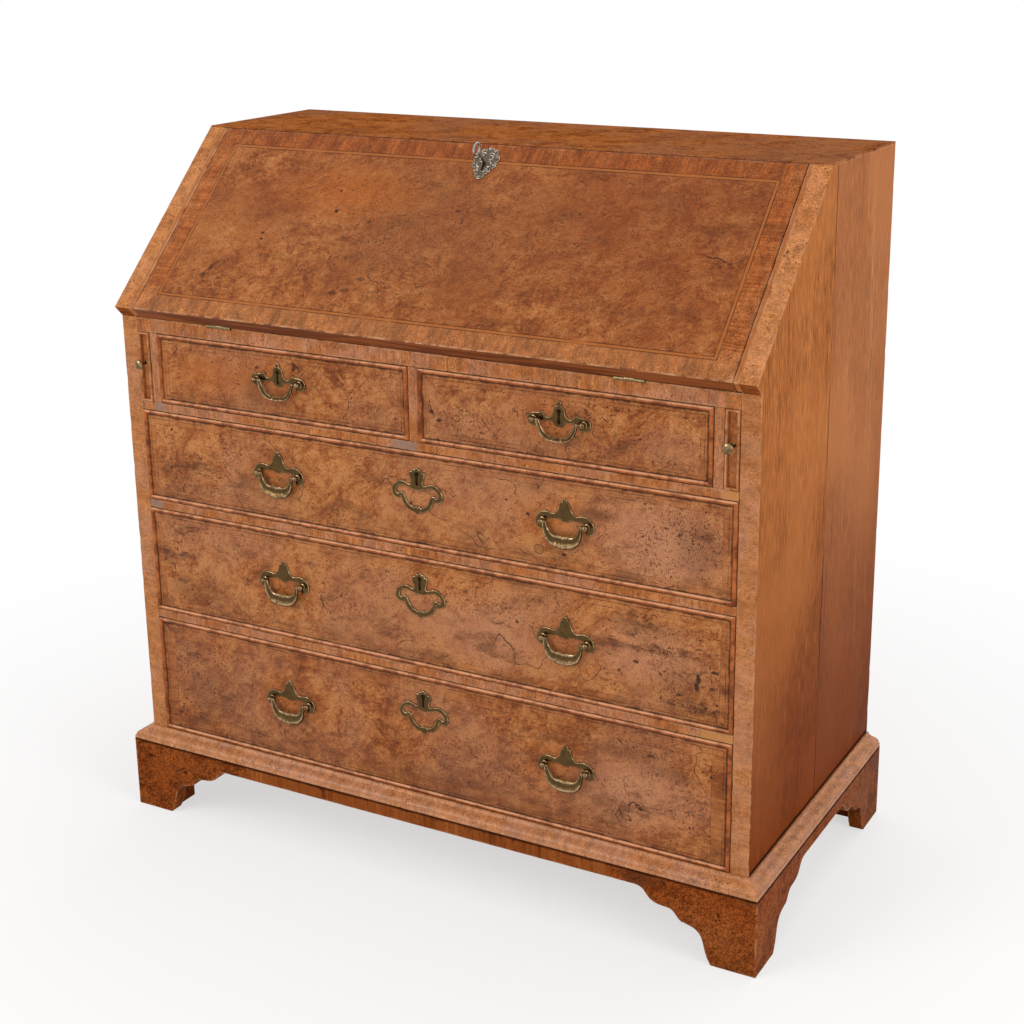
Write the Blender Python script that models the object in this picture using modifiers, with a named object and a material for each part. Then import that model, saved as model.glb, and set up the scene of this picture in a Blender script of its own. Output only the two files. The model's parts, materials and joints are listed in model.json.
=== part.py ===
"""Walnut writing bureau: a sloping fall over two small and three long drawers, on bracket feet.

Metres, +Z up. X runs across the front, the front faces -Y, and the origin is on the floor
under the middle of the whole piece. The fall is shut, the drawers and lopers are in.
"""
import math

import bmesh
import bpy
from mathutils import Matrix

# Carcass
CARCASS_WIDTH = 0.940
CARCASS_DEPTH = 0.456
SIDE_THICK = 0.025
BACK_THICK = 0.009
RAIL_THICK = 0.012
DIVIDER_THICK = 0.0138
LOPER_DIVIDER_THICK = 0.0128
DESK_HEIGHT = 0.236
TOP_THICK = 0.019
TOP_LAP = 0.0015
SLOPE_DEGREES = 44.0

# Clearances
SEAT_GAP = 0.0003
REVEAL = 0.0010
SWING_GAP = 0.0008
LOPER_RUN = 0.0004
CUT_OVERRUN = 0.004

# Base
PLINTH_HEIGHT = 0.1062
PLINTH_REACH = 0.0205
PLINTH_THICK = 0.021
APRON_HEIGHT = 0.0197
BRACKET_WIDTH = 0.165
MOULDING_HEIGHT = 0.0178
MOULDING_REACH = 0.0200
FOOT_BLOCK = 0.036

# Drawers
SMALL_DRAWER_HEIGHT = 0.0965
UPPER_DRAWER_HEIGHT = 0.1295
MIDDLE_DRAWER_HEIGHT = 0.1530
LOWER_DRAWER_HEIGHT = 0.1728
DRAWER_FRONT_THICK = 0.020
DRAWER_LINING = 0.009
DRAWER_BOTTOM = 0.006
DRAWER_BACK_ROOM = 0.022
DRAWER_HEAD_ROOM = 0.006
BEAD_WIDTH = 0.0032
BEAD_REACH = 0.0025
BEAD_ROUND = 0.0011

# Lopers
LOPER_SLOT = 0.0203
LOPER_LENGTH = 0.360
LOPER_RECESS = 0.0050
LOPER_BEAD_REACH = 0.0020
KNOB_RADIUS = 0.0072
KNOB_LENGTH = 0.0205
KNOB_STEM_RADIUS = 0.0022
KNOB_HEAD_THICK = 0.0080
KNOB_RISE = 0.0055

# Fall and its fittings
FALL_THICK = 0.020
STRIP_WIDTH = 0.0062
STRIP_BITE = 0.0020
HINGE_WIDTH = 0.040
HINGE_LEAF_LENGTH = 0.045
HINGE_LEAF_THICK = 0.0018
KNUCKLE_RADIUS = 0.0026
HINGE_PIN_RADIUS = 0.0010
LOCK_WIDTH = 0.070
LOCK_DEPTH = 0.012
LOCK_DROP = 0.016
LOCK_WALL = 0.003
KEYHOLE_INSET = 0.033
KEY_RADIUS = 0.0016
KEY_BIT_LENGTH = 0.0065
KEY_BIT_THICK = 0.0018
KEY_BIT_DEPTH = 0.005
KEY_REACH = 0.027
KEY_BOW_HALF_LENGTH = 0.0070
KEY_BOW_HALF_WIDTH = 0.0092
KEY_BOW_WIRE = 0.0015
FALL_PLATE_HALF_WIDTH = 0.0192
FALL_PLATE_HALF_HEIGHT = 0.0260
FALL_PLATE_THICK = 0.0028

# Handles and keyholes
PLATE_THICK = 0.0016
SMALL_PLATE_HALF_WIDTH = 0.0465
SMALL_PLATE_RISE = 0.0255
SMALL_PLATE_DROP = 0.0115
SMALL_POST_HALF = 0.0330
SMALL_BAIL_DROP = 0.0210
SMALL_BAIL_RADIUS = 0.0045
LONG_PLATE_HALF_WIDTH = 0.0410
LONG_PLATE_RISE = 0.0305
LONG_PLATE_DROP = 0.0115
LONG_POST_HALF = 0.0310
LONG_BAIL_DROP = 0.0250
LONG_BAIL_RADIUS = 0.0085
BAIL_HALF_THICK = 0.0022
CENTRE_PLATE_HALF_WIDTH = 0.0385
CENTRE_PLATE_HALF_HEIGHT = 0.0310
CENTRE_PLATE_OFFSET = 0.003
CENTRE_PLATE_INSET = 0.021
SMALL_HANDLE_RISE = 0.0056
LONG_HANDLE_RISE = 0.0030
POST_RADIUS = 0.0036
POST_LENGTH = 0.0095
POST_AXIS = 0.0055
PIVOT_BORE = 0.0019
PIVOT_PIN = 0.0014
KEYHOLE_RADIUS = 0.0019
KEYHOLE_SLOT = 0.0013
KEYHOLE_LENGTH = 0.0140
SMALL_KEYHOLE_RISE = 0.0125
CENTRE_KEYHOLE_RISE = 0.0225

# Pigeonhole unit inside the desk
UNIT_BOARD = 0.006
UNIT_DRAWER_HEIGHT = 0.058
UNIT_FALL_ROOM = 0.012
UNIT_DRAWER_WALL = 0.005
UNIT_BACK_ROOM = 0.006
BAY_COUNT = 3
HOLES_PER_BAY = 3

# Facets
ROD_SIDES = 12
TURNED_STEPS = 12
BEAD_SEGMENTS = 2
WIRE_RESOLUTION = 2
KEY_RESOLUTION = 1
ARC_POINTS = 6
FLAT_ANGLE = 0.001

# Outlines, each from the top centre down the right-hand half. First number: share of the half
# width. Second: share of the rise above the post axis, or of the drop below it.
SMALL_PLATE_SHARES = (
    (0.00, 1.00), (0.07, 0.93), (0.05, 0.85), (0.13, 0.74), (0.18, 0.50), (0.22, 0.24),
    (0.33, 0.10), (0.43, 0.22), (0.50, 0.46), (0.57, 0.28), (0.74, 0.31), (0.90, 0.24),
    (1.00, -0.06), (0.94, -0.70), (0.80, -1.00), (0.66, -0.78), (0.60, -0.30),
    (0.46, -0.10), (0.28, -0.12), (0.20, -0.36), (0.10, -0.58), (0.00, -0.62))
LONG_PLATE_SHARES = (
    (0.00, 1.00), (0.08, 0.92), (0.13, 0.76), (0.18, 0.58), (0.28, 0.38), (0.40, 0.34),
    (0.56, 0.39), (0.72, 0.38), (0.88, 0.28), (0.98, 0.06), (1.00, -0.30), (0.93, -0.82),
    (0.82, -1.00), (0.70, -0.85), (0.62, -0.36), (0.60, 0.02), (0.50, 0.05), (0.30, 0.05),
    (0.12, 0.04), (0.06, -0.06), (0.00, -0.02))
# The centre plate's second number is a share of its half height.
CENTRE_PLATE_SHARES = (
    (0.00, 1.00), (0.09, 0.96), (0.14, 0.86), (0.22, 0.82), (0.24, 0.71), (0.31, 0.65),
    (0.32, 0.50), (0.26, 0.40), (0.20, 0.32), (0.26, 0.24), (0.38, 0.26), (0.55, 0.33),
    (0.75, 0.28), (0.92, 0.14), (1.00, -0.06), (0.97, -0.26), (0.88, -0.35), (0.72, -0.36),
    (0.62, -0.43), (0.56, -0.62), (0.42, -0.84), (0.20, -0.97), (0.00, -1.00))
CENTRE_LOOP_SHARES = (
    (0.00, 0.03), (0.12, 0.07), (0.35, 0.05), (0.60, 0.11), (0.78, 0.06), (0.84, -0.06),
    (0.78, -0.14), (0.66, -0.12), (0.55, -0.23), (0.48, -0.42), (0.36, -0.62), (0.20, -0.73),
    (0.09, -0.66), (0.00, -0.75))
FALL_PLATE_SHARES = (
    (0.00, 1.00), (0.22, 0.97), (0.34, 0.84), (0.58, 0.86), (0.70, 0.66), (0.66, 0.50),
    (0.92, 0.42), (1.00, 0.20), (0.86, 0.04), (0.94, -0.14), (0.84, -0.34), (0.62, -0.40),
    (0.64, -0.60), (0.44, -0.74), (0.26, -0.78), (0.16, -0.94), (0.00, -1.00))
# Bails: share of the post half spacing, share of the drop, share of the largest radius.
SMALL_BAIL_SHARES = (
    (0.82, 0.00, 0.40), (0.77, -0.10, 0.48), (0.77, -0.32, 0.58), (0.64, -0.66, 0.62),
    (0.40, -0.88, 0.64), (0.13, -0.96, 0.60), (0.00, -1.00, 1.00))
LONG_BAIL_SHARES = (
    (0.80, 0.00, 0.24), (0.73, -0.08, 0.26), (0.725, -0.36, 0.33), (0.66, -0.70, 0.58),
    (0.48, -0.90, 0.77), (0.25, -0.985, 0.87), (0.00, -1.00, 1.00))
# Bracket foot: share of the bracket width from the corner, share of the height under the apron.
BRACKET_SHARES = (
    (0.37, 0.00), (0.42, 0.20), (0.44, 0.36), (0.49, 0.50), (0.555, 0.575), (0.60, 0.60),
    (0.66, 0.68), (0.72, 0.77), (0.77, 0.79), (0.84, 0.80), (0.90, 0.87), (0.95, 0.96), (1.00, 1.00))
# Base moulding: share of the reach, share of the height, from the outer foot up to the carcass.
MOULDING_SHARES = (
    (1.00, 0.00), (1.00, 0.24), (0.92, 0.27), (0.86, 0.44), (0.72, 0.60), (0.52, 0.70),
    (0.34, 0.76), (0.20, 0.85), (0.12, 1.00))
KNOB_SHARES = ((0.55, 0.97), (0.92, 0.78), (1.00, 0.55), (0.86, 0.22), (0.45, 0.00))
LONG_HANDLE_SHARE = 0.488
HINGE_PLACE_SHARE = 0.692
KNUCKLE_SHARE = 1 / 3

# Levels and faces worked out from the sizes above
SLOPE = math.radians(SLOPE_DEGREES)
FRONT = (PLINTH_REACH - CARCASS_DEPTH) / 2
BACK = FRONT + CARCASS_DEPTH
BACK_FACE = BACK - BACK_THICK - SEAT_GAP
HALF = CARCASS_WIDTH / 2
INNER = HALF - SIDE_THICK
CARCASS_FOOT = PLINTH_HEIGHT + SEAT_GAP
LOWER_FLOOR = CARCASS_FOOT + MOULDING_HEIGHT
MIDDLE_FLOOR = LOWER_FLOOR + LOWER_DRAWER_HEIGHT + 2 * REVEAL + RAIL_THICK
UPPER_FLOOR = MIDDLE_FLOOR + MIDDLE_DRAWER_HEIGHT + 2 * REVEAL + RAIL_THICK
SMALL_FLOOR = UPPER_FLOOR + UPPER_DRAWER_HEIGHT + 2 * REVEAL + RAIL_THICK
BED_UNDER = SMALL_FLOOR + SMALL_DRAWER_HEIGHT + 2 * REVEAL
LOPER_TOP = BED_UNDER - LOPER_RUN
BED_TOP = LOPER_TOP + SEAT_GAP + FALL_THICK
TOP = BED_TOP + DESK_HEIGHT
SIDE_TOP = TOP - TOP_LAP - SEAT_GAP
FALL_LENGTH = (SIDE_TOP - BED_TOP - FALL_THICK * math.cos(SLOPE)) / math.sin(SLOPE)
FALL_HALF = INNER - STRIP_WIDTH - SWING_GAP
KEYHOLE_ALONG = FALL_LENGTH - KEYHOLE_INSET
LOPER_DIVIDER_OUTER = INNER - LOPER_SLOT
LOPER_DIVIDER_INNER = LOPER_DIVIDER_OUTER - LOPER_DIVIDER_THICK
SMALL_INNER = DIVIDER_THICK / 2 + REVEAL
SMALL_OUTER = LOPER_DIVIDER_INNER - REVEAL
PLATE_FACE = FRONT - SEAT_GAP - PLATE_THICK
BAIL_AXIS = PLATE_FACE - POST_AXIS
UNIT_TOP = TOP - TOP_THICK - 2 * SEAT_GAP
UNIT_FLOOR = BED_TOP + SEAT_GAP
UNIT_FRONT = FRONT + (UNIT_TOP - BED_TOP) / math.tan(SLOPE) + UNIT_FALL_ROOM
UNIT_BACK = BACK_FACE - SEAT_GAP
UNIT_HALF = INNER - 2 * SEAT_GAP

# Turns a flat outline so that its plane stands across the front, or along a side.
STAND_ACROSS = Matrix(((1, 0, 0), (0, 0, -1), (0, 1, 0))).to_4x4()
STAND_ALONG = Matrix(((0, 0, 1), (1, 0, 0), (0, 1, 0))).to_4x4()
LIE_FLAT = Matrix.Identity(4)
FORWARD = Matrix.Rotation(math.pi / 2, 4, "X")

for leftover in list(bpy.data.objects):
    bpy.data.objects.remove(leftover, do_unlink=True)

bureau = bpy.data.collections.new("writing_bureau")
cutters = bpy.data.collections.new("cutters")
bpy.context.scene.collection.children.link(bureau)
bpy.context.scene.collection.children.link(cutters)


def make_material(name, colour, roughness, metallic=0.0):
    """One Principled finish."""
    material = bpy.data.materials.new(name)
    material.use_nodes = True
    shader = material.node_tree.nodes["Principled BSDF"]
    shader.inputs["Base Color"].default_value = (*colour, 1.0)
    shader.inputs["Roughness"].default_value = roughness
    shader.inputs["Metallic"].default_value = metallic
    return material


WALNUT = make_material("walnut_veneer", (0.38, 0.15, 0.06), 0.42)
BURR = make_material("burr_walnut", (0.42, 0.17, 0.065), 0.36)
OAK = make_material("oak_lining", (0.36, 0.23, 0.12), 0.65)
BRASS = make_material("old_brass", (0.30, 0.22, 0.10), 0.32, 1.0)
CAST = make_material("dark_cast_brass", (0.32, 0.27, 0.20), 0.35, 1.0)
STEEL = make_material("dull_steel", (0.34, 0.31, 0.29), 0.40, 1.0)

pivot = bpy.data.objects.new("fall_pivot", None)
pivot.location = (0, FRONT, BED_TOP)
pivot.rotation_euler = (SLOPE, 0, 0)
bureau.objects.link(pivot)


def place(name, mesh, material=None, parent=None, location=(0, 0, 0)):
    """Put a mesh in the scene: a named part where it has a material, else a cutter."""
    item = bpy.data.objects.new(name, mesh)
    item.location = location
    item.parent = parent
    if material is None:
        cutters.objects.link(item)
        item.hide_render = True
        item.display_type = "WIRE"
    else:
        bureau.objects.link(item)
        mesh.materials.clear()
        mesh.materials.append(material)
    return item


def mesh_from(bm, name):
    """Close a bmesh into a mesh with its faces pointing out."""
    bmesh.ops.recalc_face_normals(bm, faces=bm.faces)
    mesh = bpy.data.meshes.new(name)
    bm.to_mesh(mesh)
    bm.free()
    return mesh


def block_bmesh(low, high):
    """An upright block between two corners."""
    bm = bmesh.new()
    size = [b - a for a, b in zip(low, high)]
    middle = [(a + b) / 2 for a, b in zip(low, high)]
    bmesh.ops.create_cube(bm, size=1, matrix=Matrix.Translation(middle) @ Matrix.Diagonal((*size, 1)))
    return bm


def block(name, low, high, material=None, parent=None):
    return place(name, mesh_from(block_bmesh(low, high), name), material, parent)


def rod(name, start, end, radius, centre, material=None, parent=None, axis="X", location=(0, 0, 0)):
    """A rod along X or along Z from start to end, about a centre in the other two directions."""
    bm = bmesh.new()
    turn = Matrix.Rotation(math.pi / 2, 4, "Y") if axis == "X" else Matrix.Identity(4)
    middle = (start + end) / 2
    point = (middle, *centre) if axis == "X" else (*centre, middle)
    bmesh.ops.create_cone(bm, cap_ends=True, segments=ROD_SIDES, radius1=radius, radius2=radius,
                          depth=end - start, matrix=Matrix.Translation(point) @ turn)
    return place(name, mesh_from(bm, name), material, parent, location)


def curve_mesh(curve, name):
    """Make a curve a mesh with its caps welded."""
    item = bpy.data.objects.new(name, curve)
    bpy.context.scene.collection.objects.link(item)
    graph = bpy.context.evaluated_depsgraph_get()
    mesh = bpy.data.meshes.new_from_object(item.evaluated_get(graph))
    bpy.data.objects.remove(item, do_unlink=True)
    bm = bmesh.new()
    bm.from_mesh(mesh)
    bmesh.ops.remove_doubles(bm, verts=bm.verts, dist=SEAT_GAP / 100)
    bpy.data.meshes.remove(mesh)
    return bm


def flat_plate(name, outlines, thick, stand, shift=(0, 0, 0)):
    """A flat outline, with holes after the first outline, given its thickness and stood up."""
    curve = bpy.data.curves.new(name, "CURVE")
    curve.dimensions = "2D"
    curve.fill_mode = "BOTH"
    curve.extrude = thick / 2
    for outline in outlines:
        spline = curve.splines.new("POLY")
        spline.points.add(len(outline) - 1)
        for point, (across, up) in zip(spline.points, outline):
            point.co = (across, up, 0, 1)
        spline.use_cyclic_u = True
    bm = curve_mesh(curve, name)
    bmesh.ops.dissolve_limit(bm, angle_limit=FLAT_ANGLE, verts=bm.verts, edges=bm.edges)
    bmesh.ops.transform(bm, matrix=Matrix.Translation(shift) @ stand, verts=bm.verts)
    return mesh_from(bm, name)


def turned(name, profile, material, location, parent=None):
    """A turned piece standing out of the front: (radius, length) down its outer side."""
    mesh = bpy.data.meshes.new(name)
    mesh.from_pydata([(radius, 0, length) for radius, length in profile],
                     [(i, i + 1) for i in range(len(profile) - 1)], [])
    item = place(name, mesh, material, parent, location)
    item.rotation_euler = FORWARD.to_euler()
    screw = item.modifiers.new("turn", "SCREW")
    screw.axis = "Z"
    screw.steps = TURNED_STEPS
    screw.render_steps = TURNED_STEPS
    screw.use_merge_vertices = True
    screw.merge_threshold = SEAT_GAP / 10
    return item


def combine(item, other, operation):
    """Cut another object out of this one, or join it on."""
    modifier = item.modifiers.new(operation.lower(), "BOOLEAN")
    modifier.operation = operation
    modifier.solver = "EXACT"
    modifier.object = other


def settled(item):
    """The mesh an object has after its modifiers, so that copies can share it."""
    bpy.context.view_layer.update()
    graph = bpy.context.evaluated_depsgraph_get()
    mesh = bpy.data.meshes.new_from_object(item.evaluated_get(graph))
    mesh.transform(item.matrix_world)
    bpy.data.objects.remove(item, do_unlink=True)
    return mesh


def mirrored(half):
    """A closed outline from the right half of it, which starts and ends on the centre line."""
    return list(half) + [(-across, up) for across, up in reversed(half[1:-1])]


def keyhole(centre_up, centre_across=0.0):
    """A round hole with a slot hanging from it."""
    start = math.asin(KEYHOLE_SLOT / KEYHOLE_RADIUS)
    half = [(0, KEYHOLE_RADIUS)]
    for step in range(1, ARC_POINTS + 1):
        angle = (math.pi - start) * step / ARC_POINTS
        half.append((KEYHOLE_RADIUS * math.sin(angle), KEYHOLE_RADIUS * math.cos(angle)))
    half += [(KEYHOLE_SLOT, -KEYHOLE_LENGTH), (0, -KEYHOLE_LENGTH)]
    return [(across + centre_across, up + centre_up) for across, up in mirrored(half)]


def on_slope(along, out):
    """Depth and height of a point in the fall's own plane: up the slope, and out of it."""
    return (FRONT + along * math.cos(SLOPE) - out * math.sin(SLOPE),
            BED_TOP + along * math.sin(SLOPE) + out * math.cos(SLOPE))


def make_sides():
    """Two sides with their sloping front edge, lip and the thin strip beside the fall."""
    outline = [(FRONT, CARCASS_FOOT), (FRONT, BED_TOP), on_slope(0, FALL_THICK),
               on_slope(FALL_LENGTH, FALL_THICK), (BACK, SIDE_TOP), (BACK, CARCASS_FOOT)]
    for name, side in (("side_left", -1), ("side_right", 1)):
        middle = side * (INNER + HALF) / 2
        item = place(name, flat_plate(name, [outline], SIDE_THICK, STAND_ALONG, (middle, 0, 0)), WALNUT)
        edges = sorted((side * (INNER - STRIP_WIDTH), side * (INNER + STRIP_BITE)))
        strip = block(name + "_strip", (edges[0], 0, SEAT_GAP), (edges[1], FALL_LENGTH, FALL_THICK),
                      parent=pivot)
        combine(item, strip, "UNION")


def make_top():
    """The top board: its front edge is rebated for the fall and its skin laps over the sides."""
    lap_along = FALL_LENGTH + SEAT_GAP / math.sin(SLOPE)
    skin_along = lap_along + TOP_LAP / math.sin(SLOPE)
    under = TOP - TOP_THICK
    under_along = (under - BED_TOP + SEAT_GAP * math.cos(SLOPE)) / math.sin(SLOPE)
    outline = [on_slope(skin_along, FALL_THICK), on_slope(lap_along, FALL_THICK),
               on_slope(lap_along, -SEAT_GAP), on_slope(under_along, -SEAT_GAP),
               (BACK, under), (BACK, TOP)]
    item = place("top_board", flat_plate("top_board", [outline], CARCASS_WIDTH, STAND_ALONG), BURR)
    for name, side in (("left", -1), ("right", 1)):
        edges = sorted((side * (INNER - SEAT_GAP), side * (HALF + CUT_OVERRUN)))
        seat = block("top_seat_" + name, (edges[0], FRONT, BED_TOP),
                     (edges[1], BACK + CUT_OVERRUN, TOP - TOP_LAP))
        combine(item, seat, "DIFFERENCE")


def make_boards():
    """Back, bottom, dustboards with their front rails, writing bed and the upright dividers."""
    reach = INNER - SEAT_GAP
    block("back_panel", (-reach, BACK - BACK_THICK, CARCASS_FOOT),
          (reach, BACK, TOP - TOP_THICK - SEAT_GAP), OAK)
    block("bottom_board", (-reach, FRONT, CARCASS_FOOT), (reach, BACK_FACE, LOWER_FLOOR), WALNUT)
    for name, floor in (("dustboard_lower", MIDDLE_FLOOR), ("dustboard_middle", UPPER_FLOOR),
                        ("dustboard_upper", SMALL_FLOOR)):
        block(name, (-reach, FRONT, floor - RAIL_THICK), (reach, BACK_FACE, floor), WALNUT)
    foot, head = SMALL_FLOOR + SEAT_GAP, BED_UNDER - SEAT_GAP
    block("drawer_divider", (-DIVIDER_THICK / 2, FRONT, foot),
          (DIVIDER_THICK / 2, BACK_FACE, head), WALNUT)
    for name, side in (("loper_divider_left", -1), ("loper_divider_right", 1)):
        edges = sorted((side * LOPER_DIVIDER_INNER, side * LOPER_DIVIDER_OUTER))
        block(name, (edges[0], FRONT, foot), (edges[1], BACK_FACE, head), WALNUT)


def make_moulding():
    """The base moulding, mitred round the front and both sides."""
    profile = [(SEAT_GAP, 0)]
    profile += [(MOULDING_REACH * out, MOULDING_HEIGHT * up) for out, up in MOULDING_SHARES]
    profile.append((SEAT_GAP, MOULDING_HEIGHT))
    bm = bmesh.new()
    end = bm.faces.new([bm.verts.new((-HALF - out, BACK, CARCASS_FOOT + up)) for out, up in profile])
    inner_faces = []
    for corner in ("front_left", "front_right", "back_right"):
        swept = bmesh.ops.extrude_face_region(bm, geom=[end])["geom"]
        if corner != "front_left":
            inner_faces.append(end)
        end = [item for item in swept if isinstance(item, bmesh.types.BMFace)][0]
        for vert in end.verts:
            if corner == "front_left":
                vert.co.y = FRONT + HALF + vert.co.x
            elif corner == "front_right":
                vert.co.x = -vert.co.x
            else:
                vert.co.y = BACK
    bmesh.ops.delete(bm, geom=inner_faces, context="FACES_ONLY")
    place("base_moulding", mesh_from(bm, "base_moulding"), WALNUT)


def bracket(corner, direction):
    """The underside of a bracket foot from its floor corner in to the apron."""
    under = PLINTH_HEIGHT - APRON_HEIGHT
    return [(corner + direction * BRACKET_WIDTH * out, under * up) for out, up in BRACKET_SHARES]


def plinth_outline(start, end):
    """A plinth board from start to end, with a bracket foot at each end."""
    return ([(start, 0)] + bracket(start, 1) + bracket(end, -1)[::-1]
            + [(end, 0), (end, PLINTH_HEIGHT), (start, PLINTH_HEIGHT)])


def make_plinth():
    """Front and side plinth boards with bracket feet, mitred at the front corners."""
    reach = HALF + PLINTH_REACH
    outer = FRONT - PLINTH_REACH
    mesh = flat_plate("plinth_front", [plinth_outline(-reach + SEAT_GAP, reach - SEAT_GAP)],
                      PLINTH_THICK, STAND_ACROSS, (0, outer + PLINTH_THICK / 2, 0))
    for vert in mesh.vertices:
        if vert.co.y > outer + PLINTH_THICK / 2 and abs(vert.co.x) > reach - PLINTH_THICK / 2:
            vert.co.x -= math.copysign(PLINTH_THICK, vert.co.x)
    place("plinth_front", mesh, WALNUT)
    for name, side in (("plinth_left", -1), ("plinth_right", 1)):
        middle = side * (reach - PLINTH_THICK / 2)
        mesh = flat_plate(name, [plinth_outline(outer, BACK)], PLINTH_THICK, STAND_ALONG, (middle, 0, 0))
        for vert in mesh.vertices:
            if vert.co.y < outer + PLINTH_THICK / 2 and side * vert.co.x < side * middle:
                vert.co.y += PLINTH_THICK
        item = place(name, mesh, WALNUT)
        inside = reach - PLINTH_THICK
        for corner, near in (("front", outer + PLINTH_THICK + SEAT_GAP), ("back", BACK - FOOT_BLOCK)):
            edges = sorted((side * (inside - FOOT_BLOCK), side * (inside + PLINTH_THICK / 2)))
            foot = block("foot_block_" + corner + name, (edges[0], near, 0),
                         (edges[1], near + FOOT_BLOCK, PLINTH_HEIGHT))
            combine(item, foot, "UNION")


def beaded_panel(name, low, high, bead, reach, sink, material):
    """A block whose front face is sunk inside a rounded bead that stands proud of it."""
    bm = block_bmesh((low[0], low[1] - reach, low[2]), high)
    bm.faces.ensure_lookup_table()
    front = min(bm.faces, key=lambda face: face.calc_center_median().y)
    bmesh.ops.inset_region(bm, faces=[front], thickness=bead, depth=0)
    bmesh.ops.inset_region(bm, faces=[front], thickness=0, depth=-sink)
    face_y = low[1] - reach
    rim = [edge for edge in bm.edges
           if all(abs(vert.co.y - face_y) < SEAT_GAP / 10 for vert in edge.verts)]
    corners = [edge for edge in rim if edge.verts[0].co.x == edge.verts[1].co.x
               or edge.verts[0].co.z == edge.verts[1].co.z]
    bmesh.ops.bevel(bm, geom=corners, offset=min(BEAD_ROUND, bead / 3), segments=BEAD_SEGMENTS,
                    profile=0.5, affect="EDGES")
    return place(name, mesh_from(bm, name), material)


def make_drawer(name, left, right, floor, height, keyholes):
    """A beaded front with its keyhole, and the lined box behind it that runs on the floor."""
    bottom = floor + REVEAL
    item = beaded_panel("drawer_front_" + name, (left, FRONT, bottom),
                        (right, FRONT + DRAWER_FRONT_THICK, bottom + height),
                        BEAD_WIDTH, BEAD_REACH, BEAD_REACH, BURR)
    for across, up in keyholes:
        mesh = flat_plate(name + "_keyhole", [keyhole(up, across)], DRAWER_FRONT_THICK * 2,
                          STAND_ACROSS, (0, FRONT + DRAWER_FRONT_THICK / 2, 0))
        combine(item, place(name + "_keyhole", mesh), "DIFFERENCE")
    near = FRONT + DRAWER_FRONT_THICK + SEAT_GAP
    far = BACK_FACE - DRAWER_BACK_ROOM
    low = (left + REVEAL, near, floor + SEAT_GAP)
    high = (right - REVEAL, far, bottom + height - DRAWER_HEAD_ROOM)
    box = block("drawer_box_" + name, low, high, OAK)
    hollow = block(name + "_hollow", (low[0] + DRAWER_LINING, near - CUT_OVERRUN, low[2] + DRAWER_BOTTOM),
                   (high[0] - DRAWER_LINING, far - DRAWER_LINING, high[2] + CUT_OVERRUN))
    combine(box, hollow, "DIFFERENCE")


def handle_plate_mesh(name, shares, half_width, rise, drop, post_half, keyhole_up=None):
    """A backplate with its two pierced posts; its origin is midway between the posts."""
    half = [(half_width * across, (rise if up > 0 else drop) * up) for across, up in shares]
    outlines = [mirrored(half)]
    if keyhole_up is not None:
        outlines.append(keyhole(keyhole_up))
    plate = place(name, flat_plate(name, outlines, PLATE_THICK, STAND_ACROSS,
                                   (0, POST_AXIS + PLATE_THICK / 2, 0)))
    face = -POST_AXIS - PLATE_THICK / 2
    for side in (-1, 1):
        post = rod(name + "_post", face, POST_LENGTH - POST_AXIS, POST_RADIUS, (side * post_half, 0),
                   axis="Z")
        post.rotation_euler = FORWARD.to_euler()
        combine(plate, post, "UNION")
    start = -post_half - POST_RADIUS - CUT_OVERRUN
    combine(plate, rod(name + "_bore", start, -start, PIVOT_BORE, (0, 0)), "DIFFERENCE")
    return settled(plate)


def bail_mesh(name, shares, post_half, drop, radius):
    """A swelling bail hung between two posts, its pivot pins on the X axis."""
    pin = PIVOT_PIN / radius
    half = [(post_half + POST_RADIUS / 2, 0, pin)]
    half += [(post_half * across, drop * up, size) for across, up, size in shares]
    path = half + [(-across, up, size) for across, up, size in reversed(half[:-1])]
    curve = bpy.data.curves.new(name, "CURVE")
    curve.dimensions = "3D"
    curve.bevel_depth = radius
    curve.bevel_resolution = WIRE_RESOLUTION
    curve.use_fill_caps = True
    spline = curve.splines.new("POLY")
    spline.points.add(len(path) - 1)
    for point, (across, up, size) in zip(spline.points, path):
        point.co = (across, 0, up, 1)
        point.radius = size
    bm = curve_mesh(curve, name)
    for vert in bm.verts:
        vert.co.y = max(-BAIL_HALF_THICK, min(BAIL_HALF_THICK, vert.co.y))
    return mesh_from(bm, name)


def centre_plate_mesh():
    """The fixed openwork plate over a long drawer's keyhole."""
    outlines = [mirrored([(CENTRE_PLATE_HALF_WIDTH * across, CENTRE_PLATE_HALF_HEIGHT * up)
                          for across, up in shares])
                for shares in (CENTRE_PLATE_SHARES, CENTRE_LOOP_SHARES)]
    outlines.append(keyhole(CENTRE_KEYHOLE_RISE))
    return flat_plate("centre_plate", outlines, PLATE_THICK, STAND_ACROSS)


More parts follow.
